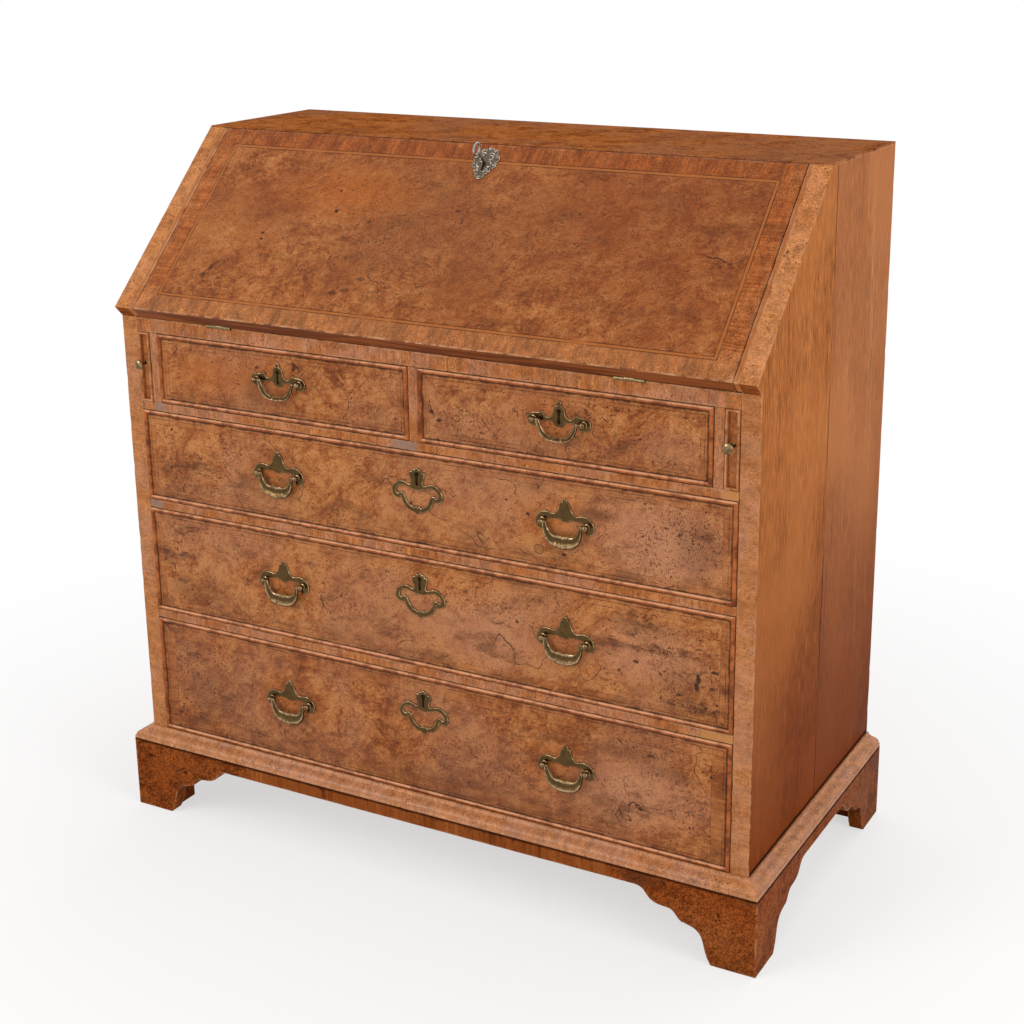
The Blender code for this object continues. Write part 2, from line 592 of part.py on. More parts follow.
def make_drawers_and_handles():
    """Two small drawers with one handle each, and three long drawers with two and a centre plate."""
    small_plate = handle_plate_mesh("small_plate", SMALL_PLATE_SHARES, SMALL_PLATE_HALF_WIDTH,
                                    SMALL_PLATE_RISE, SMALL_PLATE_DROP, SMALL_POST_HALF,
                                    SMALL_KEYHOLE_RISE)
    small_bail = bail_mesh("small_bail", SMALL_BAIL_SHARES, SMALL_POST_HALF, SMALL_BAIL_DROP,
                           SMALL_BAIL_RADIUS)
    long_plate = handle_plate_mesh("long_plate", LONG_PLATE_SHARES, LONG_PLATE_HALF_WIDTH,
                                   LONG_PLATE_RISE, LONG_PLATE_DROP, LONG_POST_HALF)
    long_bail = bail_mesh("long_bail", LONG_BAIL_SHARES, LONG_POST_HALF, LONG_BAIL_DROP,
                          LONG_BAIL_RADIUS)
    centre_plate = centre_plate_mesh()
    for name, side in (("left", -1), ("right", 1)):
        edges = sorted((side * SMALL_INNER, side * SMALL_OUTER))
        middle = (edges[0] + edges[1]) / 2
        handle_z = SMALL_FLOOR + REVEAL + SMALL_DRAWER_HEIGHT / 2 + SMALL_HANDLE_RISE
        make_drawer("small_" + name, *edges, SMALL_FLOOR, SMALL_DRAWER_HEIGHT,
                    [(middle, handle_z + SMALL_KEYHOLE_RISE)])
        spot = (middle, BAIL_AXIS, handle_z)
        place("handle_plate_small_" + name, small_plate, BRASS, location=spot)
        place("bail_small_" + name, small_bail, BRASS, location=spot)
    reach = INNER - REVEAL
    for name, floor, height in (("upper", UPPER_FLOOR, UPPER_DRAWER_HEIGHT),
                                ("middle", MIDDLE_FLOOR, MIDDLE_DRAWER_HEIGHT),
                                ("lower", LOWER_FLOOR, LOWER_DRAWER_HEIGHT)):
        plate_z = floor + REVEAL + height - CENTRE_PLATE_INSET - CENTRE_PLATE_HALF_HEIGHT
        make_drawer(name, -reach, reach, floor, height,
                    [(CENTRE_PLATE_OFFSET, plate_z + CENTRE_KEYHOLE_RISE)])
        place("escutcheon_" + name, centre_plate, BRASS,
              location=(CENTRE_PLATE_OFFSET, PLATE_FACE + PLATE_THICK / 2, plate_z))
        handle_z = floor + REVEAL + height / 2 + LONG_HANDLE_RISE
        for side_name, side in (("left", -1), ("right", 1)):
            spot = (side * reach * LONG_HANDLE_SHARE, BAIL_AXIS, handle_z)
            place("handle_plate_" + name + "_" + side_name, long_plate, BRASS, location=spot)
            place("bail_" + name + "_" + side_name, long_bail, BRASS, location=spot)


def make_lopers():
    """Two bars that pull out under the open fall, each with a sunk front panel and a knob."""
    bottom = SMALL_FLOOR + SEAT_GAP
    for name, side in (("left", -1), ("right", 1)):
        edges = sorted((side * (LOPER_DIVIDER_OUTER + REVEAL), side * (INNER - REVEAL)))
        beaded_panel("loper_" + name, (edges[0], FRONT, bottom),
                     (edges[1], FRONT + LOPER_LENGTH, LOPER_TOP),
                     BEAD_WIDTH, LOPER_BEAD_REACH, LOPER_RECESS, WALNUT)
        panel = FRONT - LOPER_BEAD_REACH + LOPER_RECESS
        stem_top = KNOB_LENGTH - KNOB_HEAD_THICK
        profile = [(0, KNOB_LENGTH)]
        profile += [(KNOB_RADIUS * out, stem_top + KNOB_HEAD_THICK * up) for out, up in KNOB_SHARES]
        profile += [(KNOB_STEM_RADIUS, stem_top), (KNOB_STEM_RADIUS, 0), (0, 0)]
        turned("loper_knob_" + name, profile, BRASS,
               ((edges[0] + edges[1]) / 2, panel - SEAT_GAP, (bottom + LOPER_TOP) / 2 + KNOB_RISE))


def hinge_room(name, place_x, direction, parent=None, location=(0, 0, 0)):
    """The let-in bed for one leaf, and the groove for the knuckle, as cutters."""
    half = HINGE_WIDTH / 2 + SEAT_GAP
    depth = HINGE_LEAF_THICK + 2 * SEAT_GAP
    heights = sorted((direction * depth, -direction * CUT_OVERRUN))
    corners = [(place_x - half, -CUT_OVERRUN, heights[0]),
               (place_x + half, HINGE_LEAF_LENGTH + SEAT_GAP, heights[1])]
    corners = [tuple(a + b for a, b in zip(corner, location)) for corner in corners]
    recess = block(name + "_recess", *corners, parent=parent)
    groove = rod(name + "_groove", place_x - half, place_x + half, KNUCKLE_RADIUS + SEAT_GAP,
                 (0, 0), parent=parent, location=location)
    return recess, groove


def hinge_leaf(name, place_x, direction, outer_knuckles, parent=None, location=(0, 0, 0)):
    """One leaf of a fall hinge. The bed leaf has the outer knuckles and the pin."""
    half = HINGE_WIDTH / 2
    inner = HINGE_WIDTH * KNUCKLE_SHARE / 2
    heights = sorted((direction * SEAT_GAP, direction * (SEAT_GAP + HINGE_LEAF_THICK)))
    corners = [(place_x - half, 0, heights[0]), (place_x + half, HINGE_LEAF_LENGTH, heights[1])]
    corners = [tuple(a + b for a, b in zip(corner, location)) for corner in corners]
    leaf = block(name, *corners, BRASS, parent)
    outer = [(-half, -inner - SEAT_GAP), (inner + SEAT_GAP, half)]
    middle = [(-inner, inner)]
    own, others = (outer, middle) if outer_knuckles else (middle, outer)
    for start, end in others:
        slot = rod(name + "_slot", place_x + start - SEAT_GAP, place_x + end + SEAT_GAP,
                   KNUCKLE_RADIUS + SEAT_GAP, (0, 0), parent=parent, location=location)
        combine(leaf, slot, "DIFFERENCE")
    for start, end in own:
        knuckle = rod(name + "_knuckle", place_x + start, place_x + end, KNUCKLE_RADIUS, (0, 0),
                      parent=parent, location=location)
        combine(leaf, knuckle, "UNION")
    reach = half - SEAT_GAP if outer_knuckles else half + CUT_OVERRUN
    radius = HINGE_PIN_RADIUS if outer_knuckles else HINGE_PIN_RADIUS + SEAT_GAP
    pin = rod(name + "_pin", place_x - reach, place_x + reach, radius, (0, 0), parent=parent,
              location=location)
    combine(leaf, pin, "UNION" if outer_knuckles else "DIFFERENCE")


def make_bed_and_hinges():
    """The writing bed, the fall board and the hinges let into both."""
    reach = INNER - SEAT_GAP
    bed = block("writing_bed", (-reach, FRONT, BED_UNDER), (reach, BACK_FACE, BED_TOP), WALNUT)
    fall = block("fall_board", (-FALL_HALF, SEAT_GAP, 0), (FALL_HALF, FALL_LENGTH, FALL_THICK), BURR, pivot)
    bed_edge = (0, FRONT, BED_TOP)
    for name, side in (("left", -1), ("right", 1)):
        spot = side * FALL_HALF * HINGE_PLACE_SHARE
        for cutter in hinge_room("bed_" + name, spot, -1, location=bed_edge):
            combine(bed, cutter, "DIFFERENCE")
        for cutter in hinge_room("fall_" + name, spot, 1, parent=pivot):
            combine(fall, cutter, "DIFFERENCE")
        hinge_leaf("hinge_bed_leaf_" + name, spot, -1, True, location=bed_edge)
        hinge_leaf("hinge_fall_leaf_" + name, spot, 1, False, parent=pivot)
    return fall


def make_lock_and_key(fall):
    """The lock let into the fall, the plate over its keyhole, and the key standing in it."""
    floor = LOCK_DEPTH + SEAT_GAP
    start = KEYHOLE_ALONG - LOCK_DROP
    mortise = block("lock_mortise", (-LOCK_WIDTH / 2 - SEAT_GAP, start - SEAT_GAP, -CUT_OVERRUN),
                    (LOCK_WIDTH / 2 + SEAT_GAP, FALL_LENGTH + CUT_OVERRUN, floor), parent=pivot)
    combine(fall, mortise, "DIFFERENCE")
    mesh = flat_plate("fall_keyhole", [keyhole(KEYHOLE_ALONG)], FALL_THICK * 2, LIE_FLAT,
                      (0, 0, FALL_THICK))
    combine(fall, place("fall_keyhole", mesh, parent=pivot), "DIFFERENCE")
    clear_radius = KEY_RADIUS + KEY_BIT_LENGTH + 2 * SEAT_GAP
    lock = block("fall_lock", (-LOCK_WIDTH / 2, start, SEAT_GAP),
                 (LOCK_WIDTH / 2, FALL_LENGTH - SEAT_GAP, LOCK_DEPTH), STEEL, pivot)
    pocket = rod("lock_pocket", LOCK_WALL, LOCK_DEPTH + CUT_OVERRUN, clear_radius,
                 (0, KEYHOLE_ALONG), parent=pivot, axis="Z")
    combine(lock, pocket, "DIFFERENCE")

    half = [(FALL_PLATE_HALF_WIDTH * across, KEYHOLE_ALONG + FALL_PLATE_HALF_HEIGHT * up)
            for across, up in FALL_PLATE_SHARES]
    plate_low = FALL_THICK + SEAT_GAP
    mesh = flat_plate("fall_escutcheon", [mirrored(half), keyhole(KEYHOLE_ALONG)], FALL_PLATE_THICK,
                      LIE_FLAT, (0, 0, plate_low + FALL_PLATE_THICK / 2))
    place("fall_escutcheon", mesh, CAST, pivot)

    key_foot = LOCK_WALL + 2 * SEAT_GAP
    bow_foot = plate_low + FALL_PLATE_THICK + KEY_REACH - KEY_BOW_HALF_LENGTH
    key = rod("fall_key", key_foot, bow_foot + KEY_BOW_WIRE / 2, KEY_RADIUS, (0, 0), STEEL, pivot,
              axis="Z", location=(0, KEYHOLE_ALONG, 0))
    bit = block("key_bit", (-KEY_BIT_THICK / 2, KEYHOLE_ALONG - KEY_RADIUS - KEY_BIT_LENGTH, key_foot),
                (KEY_BIT_THICK / 2, KEYHOLE_ALONG, key_foot + KEY_BIT_DEPTH), parent=pivot)
    combine(key, bit, "UNION")
    combine(key, place("key_bow", key_bow_mesh(bow_foot + KEY_BOW_HALF_LENGTH), parent=pivot), "UNION")


def key_bow_mesh(centre_out):
    """The key's oval ring, standing in the plane of the slope's run."""
    curve = bpy.data.curves.new("key_bow", "CURVE")
    curve.dimensions = "3D"
    curve.bevel_depth = KEY_BOW_WIRE
    curve.bevel_resolution = KEY_RESOLUTION
    spline = curve.splines.new("POLY")
    spline.points.add(2 * ARC_POINTS - 1)
    for index, point in enumerate(spline.points):
        angle = math.pi * index / ARC_POINTS
        point.co = (0, KEYHOLE_ALONG + KEY_BOW_HALF_WIDTH * math.sin(angle),
                    centre_out + KEY_BOW_HALF_LENGTH * math.cos(angle), 1)
    spline.use_cyclic_u = True
    return mesh_from(curve_mesh(curve, "key_bow"), "key_bow")


def make_pigeonholes():
    """The fitted interior: bays of pigeonholes either side of an open middle, over two drawers."""
    unit = block("pigeonhole_unit", (-UNIT_HALF, UNIT_FRONT, UNIT_FLOOR), (UNIT_HALF, UNIT_BACK, UNIT_TOP),
                 WALNUT)
    bay = (2 * UNIT_HALF - (BAY_COUNT + 1) * UNIT_BOARD) / BAY_COUNT
    shelf = UNIT_FLOOR + UNIT_BOARD + UNIT_DRAWER_HEIGHT
    near, far = UNIT_FRONT - CUT_OVERRUN, UNIT_BACK + CUT_OVERRUN

    def hole(name, left, width, low, high):
        combine(unit, block(name, (left, near, low), (left + width, far, high)), "DIFFERENCE")

    for index in range(BAY_COUNT):
        left = -UNIT_HALF + UNIT_BOARD + index * (bay + UNIT_BOARD)
        if index == BAY_COUNT // 2:
            hole("middle_bay", left, bay, UNIT_FLOOR + UNIT_BOARD, UNIT_TOP - UNIT_BOARD)
            continue
        hole("drawer_bay", left, bay, UNIT_FLOOR + UNIT_BOARD, shelf)
        width = (bay - (HOLES_PER_BAY - 1) * UNIT_BOARD) / HOLES_PER_BAY
        for number in range(HOLES_PER_BAY):
            hole("pigeonhole", left + number * (width + UNIT_BOARD), width, shelf + UNIT_BOARD,
                 UNIT_TOP - UNIT_BOARD)
        name = "left" if index == 0 else "right"
        low = (left + REVEAL, UNIT_FRONT, UNIT_FLOOR + UNIT_BOARD + SEAT_GAP)
        high = (left + bay - REVEAL, UNIT_BACK - UNIT_BACK_ROOM, shelf - REVEAL)
        drawer = block("interior_drawer_" + name, low, high, WALNUT)
        inside = block("interior_hollow_" + name, tuple(edge + UNIT_DRAWER_WALL for edge in low),
                       (high[0] - UNIT_DRAWER_WALL, high[1] - UNIT_DRAWER_WALL, high[2] + CUT_OVERRUN))
        combine(drawer, inside, "DIFFERENCE")


make_sides()
make_top()
make_boards()
make_moulding()
make_plinth()
make_drawers_and_handles()
make_lopers()
make_lock_and_key(make_bed_and_hinges())
make_pigeonholes()
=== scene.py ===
import json
import math

import bmesh
import bpy
import numpy as np
from mathutils import Matrix, Vector


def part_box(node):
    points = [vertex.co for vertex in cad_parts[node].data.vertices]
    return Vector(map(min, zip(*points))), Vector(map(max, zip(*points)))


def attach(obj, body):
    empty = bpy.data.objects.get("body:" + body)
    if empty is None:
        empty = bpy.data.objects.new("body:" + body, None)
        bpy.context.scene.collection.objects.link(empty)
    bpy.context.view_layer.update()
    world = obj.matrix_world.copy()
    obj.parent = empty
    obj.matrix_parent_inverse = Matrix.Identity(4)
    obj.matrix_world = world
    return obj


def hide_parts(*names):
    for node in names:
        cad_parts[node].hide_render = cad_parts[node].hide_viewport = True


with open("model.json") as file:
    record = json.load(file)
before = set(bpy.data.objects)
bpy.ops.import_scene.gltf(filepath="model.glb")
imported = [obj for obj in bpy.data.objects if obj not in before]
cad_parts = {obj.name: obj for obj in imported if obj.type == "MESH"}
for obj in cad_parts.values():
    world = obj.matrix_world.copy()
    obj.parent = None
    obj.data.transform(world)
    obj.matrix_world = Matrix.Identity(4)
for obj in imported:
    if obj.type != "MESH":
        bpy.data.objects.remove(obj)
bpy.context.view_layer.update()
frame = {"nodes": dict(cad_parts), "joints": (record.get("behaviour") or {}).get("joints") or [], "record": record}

# Old walnut bureau: the veneers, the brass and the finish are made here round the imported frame.
# Lengths are metres unless a value is multiplied by mm.
mm = 0.001
across, into, upward = np.eye(3)


def corners(nodeName):
    low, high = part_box(nodeName)
    return np.array(low), np.array(high)


slope = {"degrees": 44.0, "fallThick": 20 * mm}
slope["turn"] = math.radians(slope["degrees"])
bedLow, bedHigh = corners("writing_bed")
hingeLine = np.array([0.0, bedLow[1], bedHigh[2]])
upSlope = np.array([0.0, math.cos(slope["turn"]), math.sin(slope["turn"])])
offSlope = np.array([0.0, -math.sin(slope["turn"]), math.cos(slope["turn"])])
frontFace = bedLow[1]
fallTop = corners("fall_board")[1][2]
slope["length"] = (fallTop - hingeLine[2] - slope["fallThick"] * offSlope[2]) / upSlope[2]
pivots = {joint["child"]: np.array(joint["pos_m"]) for joint in frame["joints"] if "pos_m" in joint}
bodyOf = {node: body for body, nodes in frame["record"]["behaviour"]["bodies"].items() for node in nodes}
# how far up the fall the key stands
keySpot = float((pivots["key"] - hingeLine) @ upSlope)

# An axis set is an origin and three directions: along u, along v, and t out of the face.
frontAxes = (np.zeros(3), across, upward, -into)
acrossAxes = (np.zeros(3), into, upward, across)
slopeAxes = (hingeLine, across, upSlope, offSlope)


def lay(axes, u, v, t):
    # a flat point (u, v) raised by t, as a point in space
    origin, alongU, alongV, alongT = axes
    u, v, t = np.broadcast_arrays(u, v, t)
    return origin + u[..., None] * alongU + v[..., None] * alongV + t[..., None] * alongT


def unit(rows):
    size = np.linalg.norm(rows, axis=-1, keepdims=True)
    return rows / np.where(size > 1e-12, size, 1)


def column(rows, index):
    return np.array([row[index] for row in rows])


def ringShape(rings, wear=0.0, trim=0.0, capFirst=True, capLast=True):
    # rings of points, each joined to the next by a band of four-sided faces
    count, size = rings.shape[:2]
    row = np.arange(count - 1)[:, None] * size
    here = np.arange(size)[None, :]
    after = (here + 1) % size
    quads = np.stack([row + here, row + after, row + size + after, row + size + here], axis=-1)
    faces = quads.reshape(-1, 4).tolist()
    if capFirst:
        faces.append(list(range(size)))
    if capLast:
        faces.append(list(range((count - 1) * size, count * size)))

    def perPoint(values):
        values = np.asarray(values, float)
        values = values[:, None] if values.ndim == 1 else values
        return np.broadcast_to(values, (count, size)).reshape(-1)

    return {"points": rings.reshape(-1, 3), "faces": faces, "wear": perPoint(wear), "trim": perPoint(trim)}


# One mesh: points closer than merged are one, and openings are told apart by height in steps of level
meshing = {"merged": 0.002 * mm, "shortest": 0.001 * mm, "level": 0.1 * mm, "sharpDegrees": 38}


def makePiece(name, shapes, material, slotName, nodes=(), body=None, fill=None, rimBox=None):
    # one mesh from closed shapes; fill closes flat openings whose normal it gives, round any holes
    starts = np.cumsum([0] + [len(shape["points"]) for shape in shapes])
    points = np.vstack([shape["points"] for shape in shapes])
    faces = [[index + start for index in face]
             for start, shape in zip(starts, shapes) for face in shape["faces"]]
    mesh = bpy.data.meshes.new(name)
    mesh.from_pydata(points.tolist(), [], faces)
    for layer in ("wear", "trim"):
        values = np.concatenate([shape[layer] for shape in shapes]).astype(np.float32)
        mesh.attributes.new(layer, "FLOAT", "POINT").data.foreach_set("value", values)
    bm = bmesh.new()
    bm.from_mesh(mesh)
    bmesh.ops.remove_doubles(bm, verts=bm.verts, dist=meshing["merged"])
    bmesh.ops.dissolve_degenerate(bm, edges=bm.edges, dist=meshing["shortest"])
    if fill is not None:
        planes = {}
        for edge in bm.edges:
            if edge.is_boundary:
                height = sum(vert.co.dot(Vector(fill)) for vert in edge.verts) / 2
                planes.setdefault(round(height / meshing["level"]), []).append(edge)
        for edges in planes.values():
            bmesh.ops.triangle_fill(bm, use_beauty=True, edges=edges, normal=Vector(fill))
    bmesh.ops.recalc_face_normals(bm, faces=bm.faces)
    bm.to_mesh(mesh)
    bm.free()
    mesh.shade_smooth()
    mesh.set_sharp_from_angle(angle=math.radians(meshing["sharpDegrees"]))
    if rimBox is not None:
        addRims(mesh, *rimBox)
    mesh.materials.append(material)
    piece = bpy.data.objects.new(name, mesh)
    bpy.context.scene.collection.objects.link(piece)
    if nodes:
        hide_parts(*nodes)
    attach(piece, body or bodyOf[nodes[0]])


def addRims(mesh, axes, low, high):
    # two UV maps in metres: "near" from the low corner of a panel and "far" from its high corner
    points = np.zeros(len(mesh.vertices) * 3)
    mesh.vertices.foreach_get("co", points)
    points = points.reshape(-1, 3) - axes[0]
    flat = np.stack([points @ axes[1], points @ axes[2]], axis=1)
    owner = np.zeros(len(mesh.loops), np.int32)
    mesh.loops.foreach_get("vertex_index", owner)
    for name, values in (("near", flat - np.array(low)), ("far", np.array(high) - flat)):
        layer = mesh.uv_layers.new(name=name)
        layer.data.foreach_set("uv", values[owner].astype(np.float32).reshape(-1))


def rectLoop(u0, v0, u1, v1):
    return np.array([(u0, v0), (u1, v0), (u1, v1), (u0, v1)], float)


def anticlockwise(loop):
    # the loop, turned round where its signed area is negative
    u, v = np.asarray(loop, float).T
    area = np.sum(u * np.roll(v, -1) - np.roll(u, -1) * v)
    return loop if area > 0 else loop[::-1]


def drawnIn(outline, inset, radius, run):
    # a cornered outline drawn in by inset: each corner is a short arc, each side an even run of points
    here = anticlockwise(np.asarray(outline, float))
    side = np.roll(here, -1, axis=0) - here
    length = np.linalg.norm(side, axis=1)
    along = side / length[:, None]
    out = np.stack([along[:, 1], -along[:, 0]], axis=1)
    before = np.roll(out, 1, axis=0)
    mitre = (before + out) / (1 + np.sum(before * out, axis=1))[:, None]
    convex = before[:, 0] * out[:, 1] - before[:, 1] * out[:, 0] > 0
    rounds = np.where(convex, radius, 0.0)
    centres = here - np.maximum(inset, rounds)[:, None] * mitre
    left = np.maximum(rounds - inset, 0)[:, None]
    rows = []
    for index in range(len(here)):
        after = (index + 1) % len(here)
        for share in (1 / 3, 2 / 3):
            turned = unit(before[index] * (1 - share) + out[index] * share)
            rows.append((centres[index] + left[index] * turned)[None])
        start = centres[index] + left[index] * out[index]
        end = centres[after] + left[after] * out[index]
        steps = np.linspace(0, 1, max(2, round(length[index] / run)) + 1)[:, None]
        rows.append(start + (end - start) * steps)
    return np.vstack(rows)


def offsetLoop(loop, inset):
    # every point moved square to the line; inset is towards the solid side of a counterclockwise loop
    ahead = unit(np.roll(loop, -1, axis=0) - loop)
    behind = unit(loop - np.roll(loop, 1, axis=0))
    aheadOut = np.stack([ahead[:, 1], -ahead[:, 0]], axis=1)
    behindOut = np.stack([behind[:, 1], -behind[:, 0]], axis=1)
    mitre = (aheadOut + behindOut) / np.maximum(1 + np.sum(aheadOut * behindOut, axis=1), 0.5)[:, None]
    return loop - inset * mitre


def carried(axes, profile, outlineAt):
    # the outline at each inset of an edge profile, laid at its height
    return np.stack([lay(axes, *outlineAt(row[0]).T, row[1]) for row in profile])


def roundedEdges(edge, reach, low, high, degrees=(0, 30, 60, 90)):
    # an edge profile from a board's low face round both its arrises to its high one: inset, height and wear
    arc = [(edge * (1 - math.sin(a)), edge * (1 - math.cos(a)), 1.0) for a in np.radians(degrees)]
    half = [(reach, 0, 0.0)] + arc + [(0, reach, 0.0)]
    return ([(i, low + rise, w) for i, rise, w in half]
            + [(i, high - rise, w) for i, rise, w in reversed(half)])


def runLength(points):
    steps = np.linalg.norm(np.diff(points, axis=0, append=points[:1]), axis=1)
    return np.concatenate([[0], np.cumsum(steps)])[:-1]


def dips(places, seed, every, width):
    # a row of soft dips, 0 to 1, at seeded places along a run
    draw = np.random.default_rng(seed)
    total = places[-1]
    centres = draw.uniform(0, total, max(1, int(total / every)))
    widths = draw.uniform(0.4, 1.0, len(centres)) * width
    depths = draw.uniform(0.1, 1.0, len(centres)) ** 2
    return np.max(depths * np.exp(-((places[:, None] - centres) / widths) ** 2), axis=1)


def chipEdges(rings, seeds, deep, every, wide):
    # soft dips pressed into both arrises of a board, from its face and its side at once
    for group, seed in zip(((0, 1, 2, 3, 4, 5), (11, 10, 9, 8, 7, 6)), seeds):
        inward = unit((rings[group[0]] - rings[group[2]]) + (rings[group[5]] - rings[group[3]]))
        amount = dips(runLength(rings[group[2]]), seed, every, wide)
        for ring in group[1:5]:
            rings[ring] += inward * (deep * amount)[:, None]


board = {"run": 9 * mm, "flat": 2.2 * mm, "chip": 0.8 * mm, "chipEvery": 70 * mm, "chipWide": 7 * mm}


def boardShape(outline, low, high, axes, edge, chip=board["chip"], seed=1, flat=board["flat"]):
    # an outline carried from low to high with rounded, slightly chipped arrises
    flat = min(flat, max(0.1 * mm, (high - low) / 2 - edge - 0.1 * mm))
    profile = roundedEdges(edge, edge + flat, low, high)
    rings = carried(axes, profile, lambda inset: drawnIn(outline, inset, edge * 1.05, board["run"]))
    if chip:
        chipEdges(rings, (seed * 7, seed * 7 + 1), chip, board["chipEvery"], board["chipWide"])
    return ringShape(rings, wear=[0, 0.4, 1, 1, 0.4, 0] * 2)


def slabShape(low, high, edge, chip=0, seed=1):
    # an upright board between two corners; its thin way is found from its size
    low, high = np.asarray(low, float), np.asarray(high, float)
    thin = int(np.argmin(high - low))
    first, second = (way for way in range(3) if way != thin)
    axes = (np.zeros(3), np.eye(3)[first], np.eye(3)[second], np.eye(3)[thin])
    edge = min(edge, (high[thin] - low[thin]) / 3)
    outline = rectLoop(low[first], low[second], high[first], high[second])
    return boardShape(outline, low[thin], high[thin], axes, edge, chip, seed)


def between(a, b, c, d, t):
    # a Catmull-Rom curve, at b where t is 0 and at c where it is 1
    return 0.5 * (2 * b + (c - a) * t + (2 * a - 5 * b + 4 * c - d) * t ** 2
                  + (3 * b - a - 3 * c + d) * t ** 3)


def flowing(points, run=0.8 * mm):
    # a closed curve through the points, broken into corners where the third number is 1
    rows = np.array([(*point, 0)[:3] for point in points], float)
    rows = np.roll(rows, -np.flatnonzero(rows[:, 2])[0], axis=0)
    breaks = [*np.flatnonzero(rows[:, 2]), len(rows)]
    closed = np.vstack([rows, rows[:1]])[:, :2]
    pieces = []
    for first, last in zip(breaks, breaks[1:]):
        knots = closed[first:last + 1]
        knots = np.vstack([2 * knots[0] - knots[1], knots, 2 * knots[-1] - knots[-2]])
        for four in zip(knots, knots[1:], knots[2:], knots[3:]):
            steps = max(2, int(np.linalg.norm(four[2] - four[1]) / run))
            pieces.append(between(*four, (np.arange(steps) / steps)[:, None]))
    return np.vstack(pieces)


def loopShapes(loops, profiles, axes):
    # the walls of a plate: its outline, then its holes, each carried through its own edge profile
    shapes = []
    for index, (loop, profile) in enumerate(zip(loops, profiles)):
        loop = anticlockwise(loop)[::-1 if index else 1]
        rings = carried(axes, profile, lambda inset: offsetLoop(loop, inset))
        shapes.append(ringShape(rings, wear=column(profile, 2), capFirst=False, capLast=False))
    return shapes


def pocketShape(loop, top, depth, axes):
    # a blind hole: the loop let down from top and closed at its foot; its walls get trim 2, which the drawer
    # fronts paint near-black as shade
    levels = (top, top - 0.06 * mm * np.sign(depth), top - depth * 0.5, top - depth)
    return ringShape(np.stack([lay(axes, *loop.T, level) for level in levels]), trim=[0, 2, 2, 2],
                     capFirst=False)


def turnedShape(profile, centre, axis, sides=28, wear=0.0):
    # circles of each radius, set along an axis: rows are (length, radius)
    profile = np.asarray(profile, float)
    axis = unit(np.asarray(axis, float))
    first = unit(np.cross(axis, (0.31, 0.42, 0.85)))
    second = np.cross(axis, first)
    angle = np.linspace(0, 2 * math.pi, sides, endpoint=False)
    circle = np.cos(angle)[:, None] * first + np.sin(angle)[:, None] * second
    rings = centre + profile[:, 0, None, None] * axis + profile[:, 1, None, None] * circle
    return ringShape(rings, wear=wear)


def ballShape(centre, radius, axis=(0, -1, 0), stretch=1.0, sides=24, rows=13):
    # a sphere, drawn out along its axis
    angle = np.linspace(0, math.pi, rows)
    profile = np.stack([-np.cos(angle) * radius * stretch, np.sin(angle) * radius], axis=1)
    return turnedShape(profile, centre, axis, sides, wear=0.3)


def tubeShape(path, radii, sides, flatWay, closed=False):
    # circles square to a path, the points of each counted from flatWay
    radii = np.broadcast_to(radii, len(path))
    tangent = unit(np.roll(path, -1, axis=0) - np.roll(path, 1, axis=0) if closed
                   else np.gradient(path, axis=0))
    normal = unit(flatWay - np.sum(tangent * flatWay, axis=1, keepdims=True) * tangent)
    side = np.cross(tangent, normal)
    angle = np.linspace(0, 2 * math.pi, sides, endpoint=False)
    circle = np.cos(angle)[:, None] * normal[:, None] + np.sin(angle)[:, None] * side[:, None]
    rings = path[:, None] + radii[:, None, None] * circle
    if closed:
        rings = np.concatenate([rings, rings[:1]])
    return ringShape(rings, wear=0.5, capFirst=not closed, capLast=not closed)


# Node helpers
drawn = {}  # the node tree that is being filled


class Wire:
    # one output of a node; +, - and * on it add Math nodes
    def __init__(self, socket):
        self.socket = socket

    def __add__(self, other):
        return calc("ADD", self, other)

    def __sub__(self, other):
        return calc("SUBTRACT", self, other)

    def __mul__(self, other):
        return calc("MULTIPLY", self, other)

    def ease(self, start, end, low=0.0, high=1.0):
        # low before start, high after end, and a smooth step between them
        links = {"Value": self, "From Min": start, "From Max": end, "To Min": low, "To Max": high}
        return add("MapRange", links, interpolation_type="SMOOTHSTEP")


def plug(value, socket):
    if isinstance(value, Wire):
        drawn["tree"].links.new(value.socket, socket)
    elif socket.type == "RGBA" and len(value) == 3:
        socket.default_value = (*value, 1)
    else:
        socket.default_value = value


def add(kind, links=None, out=0, **settings):
    made = drawn["tree"].nodes.new("ShaderNode" + kind)
    for key, value in settings.items():
        setattr(made, key, value)
    for key, value in (links or {}).items():
        plug(value, made.inputs[key])
    return Wire(made.outputs[out])


def calc(operation, first, second=0.0, third=0.0):
    return add("Math", {0: first, 1: second, 2: third}, operation=operation)


def most(first, second):
    return calc("MAXIMUM", first, second)


def vector(operation, first, second=(0, 0, 0)):
    # a length or a dot product comes from the second output
    out = int(operation in ("LENGTH", "DOT_PRODUCT"))
    return add("VectorMath", {0: first, 1: second}, out, operation=operation)


def scaled(value, factor):
    return add("VectorMath", {0: value, "Scale": factor}, operation="SCALE")


def part(point, way):
    return add("SeparateXYZ", {0: point}, way)


def blend(share, under, over, mode="MIX"):
    return add("Mix", {0: share, 6: under, 7: over}, 2, data_type="RGBA", blend_type=mode)


def colours(value, places, tints):
    made = add("ValToRGB", {0: value})
    elements = made.socket.node.color_ramp.elements
    while len(elements) < len(places):
        elements.new(0.5)
    for element, place, tint in zip(elements, places, tints):
        element.position, element.color = place, (*tint, 1)
    return made


def cloud(point, scale, detail=2.0, rough=0.5, out=0):
    return add("TexNoise", {"Vector": point, "Scale": scale, "Detail": detail, "Roughness": rough}, out)


def cells(point, scale):
    return add("TexVoronoi", {"Vector": point, "Scale": scale}, "Distance")


def stretched(point, scale):
    return add("Mapping", {0: point, "Scale": scale})


